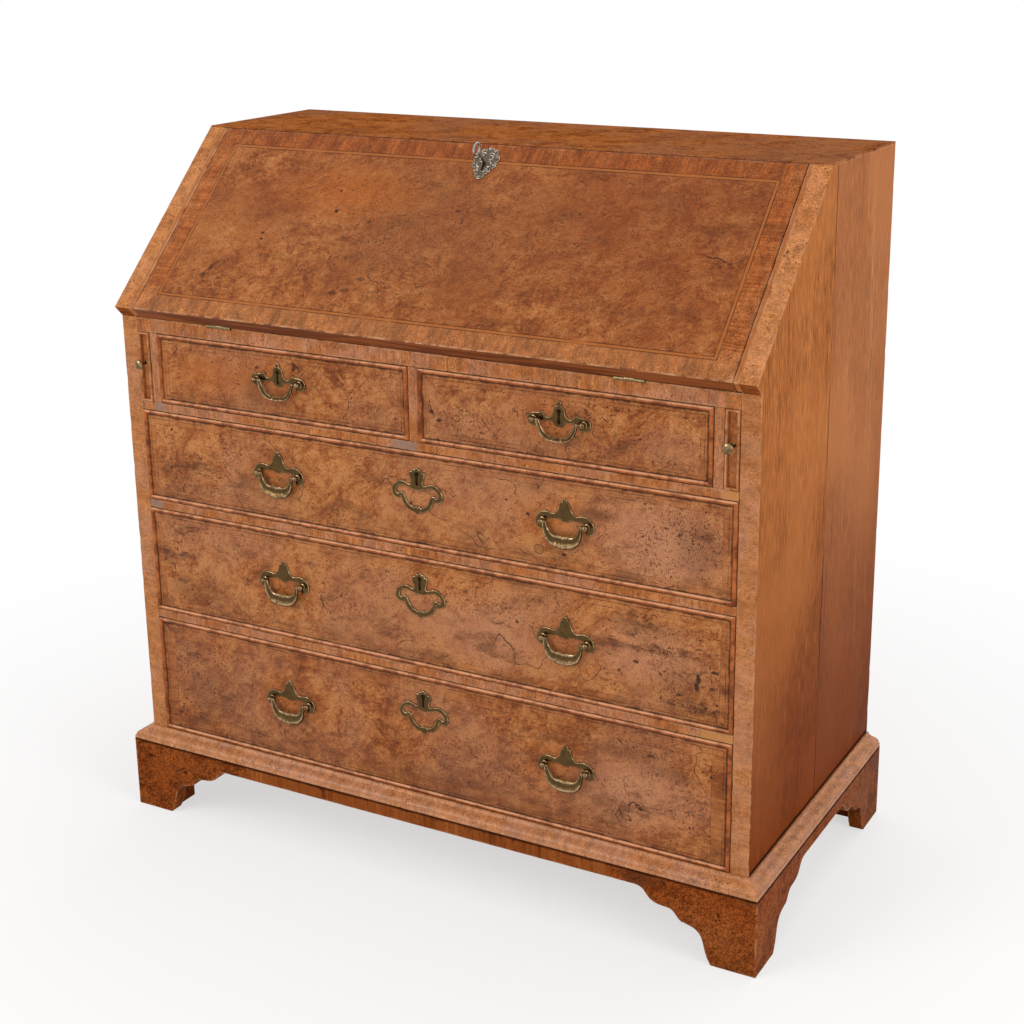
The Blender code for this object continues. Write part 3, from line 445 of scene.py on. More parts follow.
def turned(point, turn):
    return add("Mapping", {0: point, "Rotation": turn})


def nudged(point, scale, amount, detail=2.0):
    # the point moved about by a cloud, so that what is drawn on it curls
    moved = vector("SUBTRACT", cloud(point, scale, detail, out=1), (0.5, 0.5, 0.5))
    return vector("ADD", point, vector("MULTIPLY", moved, (amount, amount, amount)))


def line(distance, place, half):
    # a thin line where distance equals place
    return calc("ABSOLUTE", distance - place).ease(half, half * 0.4)


def attribute(name):
    return add("Attribute", out="Fac", attribute_name=name, attribute_type="GEOMETRY")


def facing(direction, start=0.6, end=0.8):
    # 1 where the surface looks along direction
    return vector("DOT_PRODUCT", add("TexCoord", out="Normal"), tuple(direction)).ease(start, end)


def shaded(colour, value, amount):
    # the colour made darker or lighter by a value from 0 to 1
    low, high = 1 - amount, 1 + amount
    return scaled(colour, value * (high - low) + low)


def gritty(point, way, scale):
    return cloud(stretched(point, way), scale, 3, 0.7).ease(0.36, 0.64)


# Shader node groups: each function draws one, from its inputs to its outputs
def makeGroup(name, inputs, outputs, draw):
    # an input of None is a vector, one of three or more numbers is a colour
    tree = drawn["tree"] = bpy.data.node_groups.new(name, "ShaderNodeTree")
    for label, value in inputs.items():
        kind = "Vector" if value is None else "Float" if isinstance(value, float) else "Color"
        socket = tree.interface.new_socket(name=label, in_out="INPUT", socket_type="NodeSocket" + kind)
        if value is not None:
            socket.default_value = value
    for label in outputs:
        kind = "Color" if label == "Colour" else "Float"
        tree.interface.new_socket(name=label, in_out="OUTPUT", socket_type="NodeSocket" + kind)
    source = tree.nodes.new("NodeGroupInput").outputs
    target = tree.nodes.new("NodeGroupOutput").inputs
    for label, wire in zip(outputs, draw(*[Wire(source[label]) for label in inputs])):
        plug(wire, target[label])
    return tree


def burrFigure(point, size):
    # curled burr: clouds and contour swirls for tone, then grit, patches and smudges, clustered eyes, specks
    # and hairlines, and short strokes
    point = scaled(point, size)
    curled = nudged(nudged(point, 8, 0.06), 40, 0.018)
    broad = cloud(curled, 24, 8, 0.74).ease(0.37, 0.63)
    slanted = stretched(turned(nudged(point, 14, 0.05), (0, math.radians(35), 0)), (0.42, 1, 1))
    middling = cloud(slanted, 90, 5, 0.68).ease(0.36, 0.64)
    fine = cloud(slanted, 330, 3, 0.65).ease(0.38, 0.62)
    swirl = calc("SINE", cloud(nudged(point, 6, 0.09), 8, 4, 0.55) * 120)
    tone = broad * 0.30 + fine * 0.15 + middling * 0.23 + (swirl + 1) * 0.05
    grit = cloud(point, 620, 2, 0.7).ease(0.36, 0.64)
    patch = cloud(point, 5.5, 4, 0.6).ease(0.41, 0.61)
    smudge = cloud(stretched(nudged(point, 12, 0.03), (1, 1, 2.4)), 13, 6, 0.72).ease(0.52, 0.66)
    eyes = cells(curled, 230).ease(0.34, 0.12) * cloud(point, 10, 3).ease(0.48, 0.60)
    specks = cells(nudged(point, 200, 0.002), 85).ease(0.085, 0.045) * cloud(point, 23).ease(0.49, 0.54)
    bent = nudged(point, 17, 0.07)
    standing = cloud(stretched(bent, (1, 1, 0.25)), 520).ease(0.60, 0.68)
    lying = cloud(stretched(bent, (0.22, 1, 1)), 430).ease(0.59, 0.67)
    flecks = most(standing, lying) * cloud(point, 31, 3).ease(0.38, 0.60, 0.25, 1.0)
    off = calc("ABSOLUTE", cloud(nudged(point, 4, 0.1), 7, 3) - 0.5)
    hair = off.ease(0.0026, 0.0008) * cloud(point, 13, 3).ease(0.49, 0.57)
    return tone, grit, patch, smudge, most(most(eyes * 0.75, hair * 0.8), specks), flecks


def straightGrain(point, size):
    # straight grain along Z: broad bands, fine streaks and dark pores
    wavy = nudged(stretched(scaled(point, size), (1, 1, 0.35)), 7, 0.03)
    band = cloud(stretched(wavy, (1, 1, 0.2)), 22, 4, 0.6).ease(0.30, 0.70)
    streak = cloud(stretched(wavy, (1, 1, 0.09)), 210, 3, 0.6).ease(0.30, 0.70)
    return band, streak, cloud(stretched(wavy, (1, 1, 0.10)), 620, 1).ease(0.36, 0.26)


def panelRims(near, far):
    # how far a point is from the rim of its panel, and whether a side is nearer than an end
    side, end = [calc("MINIMUM", part(near, way), part(far, way)) for way in (0, 1)]
    return calc("MINIMUM", side, end), calc("LESS_THAN", side, end)


def raggedMark(tears, core):
    # a round mark with a torn edge, 1 at its core and 0 at its reach
    def draw(point, centre, reach):
        for scale, amount, detail in tears:
            point = nudged(point, scale, amount, detail)
        away = vector("DIVIDE", vector("SUBTRACT", point, centre), reach)
        return [vector("LENGTH", away).ease(1.0, core)]
    return draw


def crackAway(point, start, along, share):
    # how far a wavering point is from a straight run; share is along over its own length squared
    away = vector("SUBTRACT", nudged(nudged(point, 70, 0.008), 300, 0.002), start)
    run = add("Clamp", {0: vector("DOT_PRODUCT", away, share)})
    return [vector("LENGTH", vector("SUBTRACT", away, scaled(along, run)))]


def oldPolish(point, dull):
    # old wax polish: roughness that drifts, and a surface that ripples a little
    rough = dull + (cloud(point, 17, 4, 0.6) - 0.5) * 0.35
    return rough, cloud(point, 24) * 0.9 + cloud(point, 260, 3) * 0.10


def wornEdge(colour, light, point, wear):
    # arrises: rubbed light in places and dirty in others, where the wear attribute is high
    spots = cloud(point, 60, 4, 0.65)
    rubbed, dirty = wear * spots.ease(0.40, 0.62), wear * spots.ease(0.44, 0.34)
    return [blend(dirty * 0.6, blend(rubbed * 0.75, colour, light), (0.03, 0.012, 0.008))]


grained = {"Point": None, "Size": 1.0}
marked = {"Point": None, "Centre": None, "Reach": None}
groups = {
    "burr": makeGroup("burrFigure", grained, ("Tone", "Grit", "Patch", "Smudge", "Dark", "Fleck"),
                      burrFigure),
    "grain": makeGroup("straightGrain", grained, ("Band", "Streak", "Pore"), straightGrain),
    "rims": makeGroup("panelRims", {"Near": None, "Far": None}, ("Rim", "AtSide"), panelRims),
    "stain": makeGroup("stain", marked, ("Mask",), raggedMark(((9, 0.03, 3), (45, 0.012, 4)), 0.15)),
    "knot": makeGroup("knot", marked, ("Mask",), raggedMark(((130, 0.005, 3), (420, 0.0025, 2)), 0.5)),
    "crack": makeGroup("crack", {"Point": None, "Start": None, "Along": None, "Share": None}, ("Away",),
                       crackAway),
    "polish": makeGroup("oldPolish", {"Point": None, "Dull": 0.4}, ("Roughness", "Height"), oldPolish),
    "worn": makeGroup("wornEdge", {"Colour": (0.5, 0.5, 0.5, 1), "Light": (0.8, 0.6, 0.4, 1), "Point": None,
                                   "Wear": 0.0}, ("Colour",), wornEdge)}


def use(group, **links):
    made = add("Group", links, node_tree=groups[group])
    return {output.name: Wire(output) for output in made.socket.node.outputs}


walnut = {
    "deep": (0.050, 0.011, 0.003), "dark": (0.125, 0.030, 0.007), "warm": (0.250, 0.066, 0.014),
    "tan": (0.375, 0.122, 0.031), "light": (0.490, 0.195, 0.062), "pink": (0.350, 0.150, 0.080),
    "amber": (0.400, 0.105, 0.014), "umber": (0.110, 0.034, 0.012), "rubbed": (0.600, 0.310, 0.160),
    "crack": (0.016, 0.005, 0.003), "raw": (0.310, 0.165, 0.070), "grey": (0.250, 0.170, 0.135),
    "gold": (0.500, 0.225, 0.060), "rose": (0.50, 0.225, 0.120), "drab": (0.225, 0.128, 0.056)}
# painted shade: the near-black of the walls inside keyholes
holeShade = (0.004, 0.002, 0.002)
lyingGrain = (0, math.radians(90), 0)
slopeGrain = (-slope["turn"] + math.pi / 2, 0, 0)


# Materials
def freshTree(owner, kind):
    # an empty node tree with its output node, whose surface it returns
    owner.use_nodes = True
    tree = drawn["tree"] = owner.node_tree
    tree.nodes.clear()
    return tree.nodes.new("ShaderNodeOutput" + kind).inputs["Surface"]


def startMaterial(name, gloss=0.24):
    # a material, its shader's sockets and the point on the piece
    material = bpy.data.materials.new(name)
    surface = freshTree(material, "Material")
    shader = add("BsdfPrincipled", {"Specular IOR Level": gloss})
    plug(shader, surface)
    return material, shader.socket.node.inputs, add("TexCoord", out="Object")


def bump(inputs, height, distance, strength):
    plug(add("Bump", {"Height": height, "Strength": strength, "Distance": distance}), inputs["Normal"])


def polished(inputs, point, colour, dull):
    # the colour under old polish, whose height is returned
    plug(colour, inputs["Base Color"])
    polish = use("polish", Point=point, Dull=dull)
    plug(polish["Roughness"], inputs["Roughness"])
    return polish["Height"]


def rubbed(colour, point, light):
    return use("worn", Colour=colour, Light=light, Point=point, Wear=attribute("wear"))["Colour"]


def rimsOfPanel():
    return use("rims", Near=add("UVMap", uv_map="near"), Far=add("UVMap", uv_map="far"))


burrLook = {"size": 1.0, "spread": 1.0, "drift": 0.5, "crack": 0.8, "dull": 0.42, "gloss": 0.14,
            "stains": (), "plugs": (), "knots": (), "cracks": ()}


def burrColour(point, look):
    # the burr's colour before borders: tone, drifting patches, then everything dark on top
    figure = use("burr", Point=point, Size=look["size"])
    tone = calc("MULTIPLY_ADD", figure["Tone"], look["spread"], look["lift"])
    colour = colours(tone, (0.20, 0.39, 0.56, 0.78), [walnut[name] for name in look["tones"]])
    colour = blend(figure["Patch"] * look["drift"], colour, look["driftColour"])
    for centre, reach, strength, tint in look["stains"]:
        mask = use("stain", Point=point, Centre=centre, Reach=reach)["Mask"]
        colour = blend(mask * strength, colour, tint)
    for place, radius in look["plugs"]:
        away = vector("LENGTH", vector("SUBTRACT", nudged(point, 90, 0.003), look["at"](*place)))
        colour = blend(away.ease(radius, radius * 0.9) * 0.35, colour, walnut["umber"])
        colour = blend(line(away, radius, 0.8 * mm) * 0.7, colour, walnut["crack"])
    busy = 1.0
    if "busyFrom" in look:
        busy = calc("ABSOLUTE", part(point, 0)).ease(*look["busyFrom"], 0.75, 1.25)
    colour = shaded(colour, figure["Grit"], look["grit"])
    colour = blend(figure["Smudge"] * (busy * look["smudge"]), colour, walnut["umber"])
    colour = blend(figure["Fleck"] * (busy * look["fleck"]), colour, walnut["deep"])
    dark = figure["Dark"] * look["crack"]
    for wide, high, strength, *places in look["knots"]:
        for place in places:
            reach = (wide * mm, max(wide, high) * mm, high * mm)
            mask = use("knot", Point=point, Centre=look["at"](*place), Reach=reach)["Mask"]
            dark = most(dark, mask * strength)
    for half, strength, *places in look["cracks"]:
        path = [np.array(look["at"](*place)) for place in places]
        for start, end in zip(path, path[1:]):
            along = end - start
            share = tuple(along / (along @ along))
            away = use("crack", Point=point, Start=tuple(start), Along=tuple(along), Share=share)["Away"]
            dark = most(dark, away.ease(half * mm, half * mm * 0.3) * strength)
    return blend(dark, colour, walnut["crack"]), figure


def grainColour(point, tones, size, pore):
    # straight grain along the Z of the point it is given
    grain = use("grain", Point=point, Size=size)
    value = grain["Band"] * 0.55 + grain["Streak"] * 0.45
    colour = colours(value, (0.05, 0.35, 0.6, 0.95), [walnut[name] for name in tones])
    return blend(grain["Pore"] * pore, colour, walnut["deep"]), grain


def crossband(point, tones=("dark", "warm", "tan", "light"), size=1.0, pore=0.5):
    return grainColour(point, tones, size, pore)[0]


def frontVeneer(name, look):
    # burr inside a rounded bead, with a narrow border and a crossbanded margin
    look = {**burrLook, **look}
    material, inputs, point = startMaterial(name, look["gloss"])
    rims = rimsOfPanel()
    rim, atSide, edge = rims["Rim"], rims["AtSide"], look["margin"]
    lying = turned(point, lyingGrain)
    colour, figure = burrColour(point, look)
    margin = blend(atSide, crossband(point, size=1.2), crossband(lying, size=1.2))
    colour = blend(rim.ease(edge + 0.4 * mm, edge - 0.4 * mm) * (atSide * 0.32 + 0.22), colour, margin)
    lines = most(line(rim, edge, 0.7 * mm) * 0.40, line(rim, look["strip"], 0.8 * mm) * 0.60)
    lines = lines * cloud(point, 40, 3).ease(0.34, 0.56)
    # dirt and painted shade: a ragged dark band just inside the bead, in its recess
    ragged = rim + (cloud(point, 70, 4, 0.65) - 0.5) * (8 * mm)
    dirtAndShade = ragged.ease(frontLook["bead"] + 3.6 * mm, frontLook["bead"] + 0.4 * mm) * 0.82
    dirt = cloud(stretched(point, (1, 1, 2.2)), 26, 5, 0.7).ease(0.44, 0.62)
    low = part(add("UVMap", uv_map="near"), 1).ease(60 * mm, 8 * mm) * dirt
    colour = blend(low * look["lowDirt"], colour, walnut["umber"])
    colour = blend(most(lines, dirtAndShade), colour, walnut["crack"])
    beadTone = cloud(point, 75, 4, 0.65).ease(0.34, 0.66)
    bead = colours(beadTone, (0.0, 0.4, 1.0), ((0.16, 0.035, 0.008), (0.29, 0.072, 0.015),
                                               (0.44, 0.130, 0.034)))
    # painted highlight: the bead lighter where it faces up and forward, patchy with its tone
    paintedHighlight = facing((0, -0.62, 0.78), 0.72, 0.98) * beadTone.ease(0.1, 0.7, 0.4, 0.85)
    bead = blend(paintedHighlight, bead, (0.74, 0.38, 0.21))
    # painted shade: the bead darker where it faces down
    bead = blend(facing((0, -0.3, -0.95), 0.5, 0.95) * 0.6, bead, walnut["deep"])
    trim = attribute("trim")
    colour = blend(trim.ease(0.3, 0.7), colour, bead)
    # painted shade: keyhole walls, where trim is 2, made near-black
    colour = blend(trim.ease(1.2, 1.7), colour, holeShade)
    colour = blend(facing(into, -0.35, 0.2), colour, crossband(lying, ("drab", "raw", "raw", "raw")))
    height = polished(inputs, point, colour, look["dull"])
    bump(inputs, height - figure["Dark"] * 0.25, 0.9 * mm, 0.6)
    return material


def fallVeneer(name, look):
    # the fall: burr in a stringing line and mitred crossbands, a dark lip below, plain walnut inside
    look = {**burrLook, **look}
    material, inputs, point = startMaterial(name, look["gloss"])
    rims = rimsOfPanel()
    rim, atSide, band, string = rims["Rim"], rims["AtSide"], look["band"], look["string"]
    level, lying = turned(point, slopeGrain), turned(point, lyingGrain)
    colour, figure = burrColour(point, look)
    banding = blend(atSide, crossband(level, look["bandTones"], 2.0), crossband(lying, size=1.6))
    banding = blend(cloud(point, 31, 4, 0.65).ease(0.42, 0.60, 0.10, 0.65), banding, colour)
    foot = part(point, 2).ease(hingeLine[2] + 50 * mm, hingeLine[2] + 30 * mm)
    banding = blend(0.32, banding, blend(foot, look["bandWash"], look["footWash"]))
    banding = shaded(banding, figure["Grit"], 0.3)
    mottle = cloud(stretched(nudged(level, 30, 0.01), (1.6, 1, 0.6)), 65, 5, 0.7)
    banding = shaded(banding, mottle.ease(0.36, 0.64), 0.22)
    peppered = cells(nudged(point, 80, 0.006), 420).ease(0.42, 0.16) * cloud(point, 24, 3).ease(0.42, 0.58)
    nearRight = atSide * part(point, 0).ease(0, 0.1)
    banding = blend(peppered * (nearRight * 0.6 + 0.3), banding, walnut["crack"])
    colour = blend(rim.ease(band + 0.3 * mm, band - 0.3 * mm), colour, banding)
    inlay = line(rim, band + string / 2, string / 2 + 0.6 * mm)
    colour = blend(inlay * 0.75, colour, look["stringColour"])
    edges = most(line(rim, band, 0.8 * mm), line(rim, band + string, 0.8 * mm))
    colour = blend(edges * cloud(point, 34, 3).ease(0.30, 0.55, 0.25, 0.8), colour, walnut["crack"])
    colour = blend(rim.ease(3 * mm, 0.5 * mm) * 0.25, colour, walnut["crack"])
    colour = rubbed(colour, point, walnut["rubbed"])
    colour = blend(facing(-offSlope), colour, crossband(lying, ("dark", "warm", "tan", "tan"), 0.8))
    colour = blend(facing(-upSlope), colour, crossband(lying, ("dark", "dark", "warm", "warm")))
    height = polished(inputs, point, colour, look["dull"])
    bump(inputs, height - figure["Dark"] * 0.25, 0.8 * mm, 0.6)
    return material


def burrVeneer(name, look):
    # burr all over; apron is where the front's burr feet end, and joint is the height of the dark line under the
    # moulding, dirt and painted shadow
    look = {**burrLook, **look}
    material, inputs, point = startMaterial(name, look["gloss"])
    colour, figure = burrColour(point, look)
    if "apron" in look:
        band = crossband(point, ("dark", "warm", "warm", "tan"), 0.9, 0.6)
        band = blend(figure["Fleck"] * 0.6, band, walnut["deep"])
        reach = calc("ABSOLUTE", part(point, 0))
        colour = blend(reach.ease(look["apron"], look["apron"] - 1.5 * mm), colour, band)
        # dirt and painted shadow: a dark line just below the moulding, at the joint
        height = part(nudged(point, 40, 0.003), 2)
        seam = height.ease(look["joint"] - 4 * mm, look["joint"] - 2 * mm, 0.0, 0.8)
        colour = blend(seam, colour, walnut["crack"])
    height = polished(inputs, point, rubbed(colour, point, walnut["rubbed"]), look["dull"])
    bump(inputs, height - figure["Dark"] * 0.25, 0.8 * mm, 0.6)
    return material


plainLook = {"gloss": 0.24, "turn": (0, 0, 0), "size": 1.0, "pore": 0.5, "grit": 0.12, "gritWay": (1, 1, 1),
             "driftColour": walnut["pink"], "planks": (), "bands": (), "seams": (),
             "rubbed": walnut["rubbed"],
             "dull": 0.42, "relief": 0.5}
bandLook = {"size": 1.3, "pore": 0.7, "tint": walnut["pink"], "tinted": 0.45, "least": 0.0,
            "gritWay": (1, 1, 1),
            "nickWay": (1, 1, 1), "nicked": 0.30, "facing": -into, "seen": (0.6, 0.8), "repairs": ()}


def banded(point, colour, look):
    # a face with a veneer of its own: tinted patches, grit, mottling, nicks and small repairs
    band = crossband(turned(point, look["turn"]), look["tones"], look["size"], look["pore"])
    patch = cloud(point, 20, 4, 0.6).ease(0.42, 0.62, look["least"])
    band = blend(patch * look["tinted"], band, look["tint"])
    band = shaded(band, gritty(point, look["gritWay"], 520), 0.24)
    mottle = cloud(stretched(nudged(point, 30, 0.01), look["gritWay"]), 65, 5, 0.7)
    band = shaded(band, mottle.ease(0.36, 0.64), 0.20)
    nicks = cells(nudged(stretched(point, look["nickWay"]), 60, 0.012), 190).ease(look["nicked"], 0.10)
    band = blend(nicks * cloud(point, 37, 3).ease(0.42, 0.56) * 0.85, band, walnut["crack"])
    seen = facing(look["facing"], *look["seen"])
    colour = blend(seen, colour, band)
    for spanX, spanZ, tint in look["repairs"]:
        mask = seen
        for way, (low, high) in ((0, spanX), (2, spanZ)):
            off = calc("ABSOLUTE", part(point, way) - (low + high) / 2)
            mask = mask * off.ease((high - low) / 2, (high - low) / 2 - 0.6 * mm)
        colour = blend(mask * 0.7, colour, tint)
    return colour


def plainWood(name, look):
    # straight-grained wood; turn brings the grain's own direction to Z
    look = {**plainLook, **look}
    material, inputs, point = startMaterial(name, look["gloss"])
    colour, grain = grainColour(turned(point, look["turn"]), look["tones"], look["size"], look["pore"])
    colour = shaded(colour, gritty(point, look["gritWay"], 330), look["grit"])
    if "drift" in look:
        share, scale = look["drift"]
        colour = blend(cloud(point, scale, 3, 0.55).ease(0.38, 0.64) * share, colour, look["driftColour"])
    for low, high, tint, strength in look["planks"]:
        depth = part(point, 1)
        mask = depth.ease(low, low + 1.2 * mm) * depth.ease(high, high - 1.2 * mm)
        colour = blend(mask * strength, colour, tint)
    if "fade" in look:
        # painted shade: the colour multiplied darker towards the bottom
        low, high, tint, strength = look["fade"]
        fade = part(nudged(point, 5, 0.12), 2).ease(high, low) * strength
        colour = blend(fade, colour, tint, "MULTIPLY")
    if "joint" in look:
        # dirt and painted shadow: a dark line just above the moulding's top
        height = part(nudged(point, 40, 0.003), 2)
        seam = height.ease(look["joint"] + 7 * mm, look["joint"] + 3.5 * mm, 0.0, 0.85)
        colour = blend(seam, colour, walnut["crack"])
    for band in look["bands"]:
        colour = banded(point, colour, {**bandLook, **band})
    for place in look["seams"]:
        waver = (cloud(point, 9) - 0.5) * (1.5 * mm)
        seam = line(part(point, 1) + waver, place, 1.5 * mm)
        colour = blend(seam * cloud(point, 8, 3).ease(0.40, 0.52, 0.3, 0.85), colour, walnut["crack"])
    height = polished(inputs, point, rubbed(colour, point, look["rubbed"]), look["dull"])
    bump(inputs, height + grain["Streak"] * 0.06, 0.8 * mm, look["relief"])
    return material


def oldMetal(name, body, bright, dull, roughness, patch=60):
    # cast metal: darker in patches, rubbed bright where the wear attribute is high, and painted near-black as
    # shade where it is below zero, on keyhole walls
    material, inputs, point = startMaterial(name)
    spots = cloud(point, patch * 3, 4, 0.6).ease(0.3, 0.7)
    colour = blend(spots * 0.45, body, dull)
    colour = blend(cloud(point, patch, 3).ease(0.35, 0.65) * 0.3, colour, dull)
    wear = attribute("wear")
    colour = blend(add("Clamp", {0: wear}) * spots.ease(0.95, 0.2, 0.25, 1.0), colour, bright)
    # painted shade: near-black where wear is below zero, inside keyholes
    plug(blend(wear.ease(-0.2, -0.8), colour, (0.003, 0.002, 0.002)), inputs["Base Color"])
    plug(1.0, inputs["Metallic"])
    plug(calc("ADD", roughness, spots * 0.14), inputs["Roughness"])
    bump(inputs, cloud(point, 420, 3), 0.25 * mm, 0.5)
    return material


def onFall(u, v):
    # a place on the fall's face, from millimetres along and up it
    return tuple(lay(slopeAxes, np.array(u * mm), np.array(v * mm), np.array(slope["fallThick"])))


def onFront(x, z):
    return x * mm, frontFace, z * mm


# Rows of knots are width, height and strength, then places; rows of cracks are half width, strength and path,
# both in millimetres on the face. Rows of stains are centre, reach, strength and colour, in metres.
materials = {"fall": fallVeneer("burrWalnutFall", {
    "tones": ("dark", "warm", "tan", "light"), "size": 1.1, "driftColour": (0.240, 0.058, 0.012),
    "at": onFall,
    "band": 27.5 * mm, "string": 4.6 * mm, "stringColour": (0.40, 0.120, 0.024),
    "bandWash": (0.36, 0.080, 0.010),
    "footWash": (0.58, 0.235, 0.080), "bandTones": ("deep", "dark", "warm", "tan"), "fleck": 0.6,
    "crack": 0.75,
    "smudge": 0.35, "dull": 0.40, "spread": 0.8, "lift": 0.198, "grit": 0.24,
    "knots": [(4.2, 3.0, 0.95, (-190.6, 188.6)), (4.0, 2.4, 0.85, (-291, 144), (-288, 133)),
              (2.6, 2.0, 0.8, (-88, 247), (-198, 221), (-173, 121), (175, 170), (33, 298), (-189, 300)),
              (9.0, 3.2, 0.6, (-105, 85), (-139, 60), (-122, 66)), (4.0, 7.0, 0.7, (-352, 66), (-346, 80))],
    "cracks": [(1.1, 0.7, (-318, 96), (-340, 92), (-358, 64), (-317, 41)),
               (1.4, 0.85, (343, 172), (374, 165), (385, 160), (401, 168)),
               (0.9, 0.75, (324, 279), (321, 231)), (0.7, 0.45, (-60, 292), (-150, 262), (-262, 205)),
               (0.7, 0.4, (60, 265), (85, 190), (52, 110))],
    "stains": [((0.30, -0.08, 0.87), (0.26, 0.2, 0.2), 0.40, (0.20, 0.042, 0.009)),
               ((-0.05, -0.08, 0.86), (0.30, 0.2, 0.16), 0.30, (0.235, 0.088, 0.034)),
               ((-0.18, -0.04, 0.90), (0.16, 0.1, 0.05), 0.55, (0.47, 0.125, 0.016)),
               ((-0.37, -0.1, 0.83), (0.10, 0.1, 0.10), 0.4, (0.50, 0.185, 0.050))]})}
materials["top"] = burrVeneer("burrWalnutTop", {
    "tones": ("deep", "dark", "warm", "tan"), "driftColour": (0.26, 0.115, 0.062), "dull": 0.5, "gloss": 0.0,
    "smudge": 0.4, "fleck": 0.8, "lift": 0.30, "grit": 0.2})
materials["plinth"] = burrVeneer("burrWalnutPlinth", {
    "tones": ("dark", "dark", "warm", "warm"), "size": 0.85, "drift": 0.4,
    "driftColour": (0.26, 0.050, 0.008),
    "fleck": 0.95, "crack": 0.95, "smudge": 0.75, "dull": 0.30, "gloss": 0.005, "lift": 0.14, "grit": 0.42,
    "apron": 285 * mm, "joint": corners("plinth_front")[1][2],
    "stains": [((0.42, frontFace, 0.05), (0.12, 0.03, 0.06), 0.5, (0.40, 0.130, 0.036))]})


def handleStains(*places):
    # the rubbed amber ground and the darker halo round each handle
    marks = []
    for x, z in places:
        marks += [((x - 0.012, frontFace, z), (0.080, 0.05, 0.045), 0.50 if z > 0.6 else 0.36,
                   walnut["amber"]),
                  ((x + 0.034, frontFace, z + 0.004), (0.030, 0.05, 0.024), 0.40, (0.16, 0.038, 0.009)),
                  ((x - 0.036, frontFace, z), (0.024, 0.05, 0.022), 0.30, (0.18, 0.045, 0.011))]
    return marks


def faceStains(*rows):
    # rows are x, z, the reach in x, y and z, strength and colour
    return [((x, frontFace, z), reach, strength, tint) for x, z, reach, strength, tint in rows]


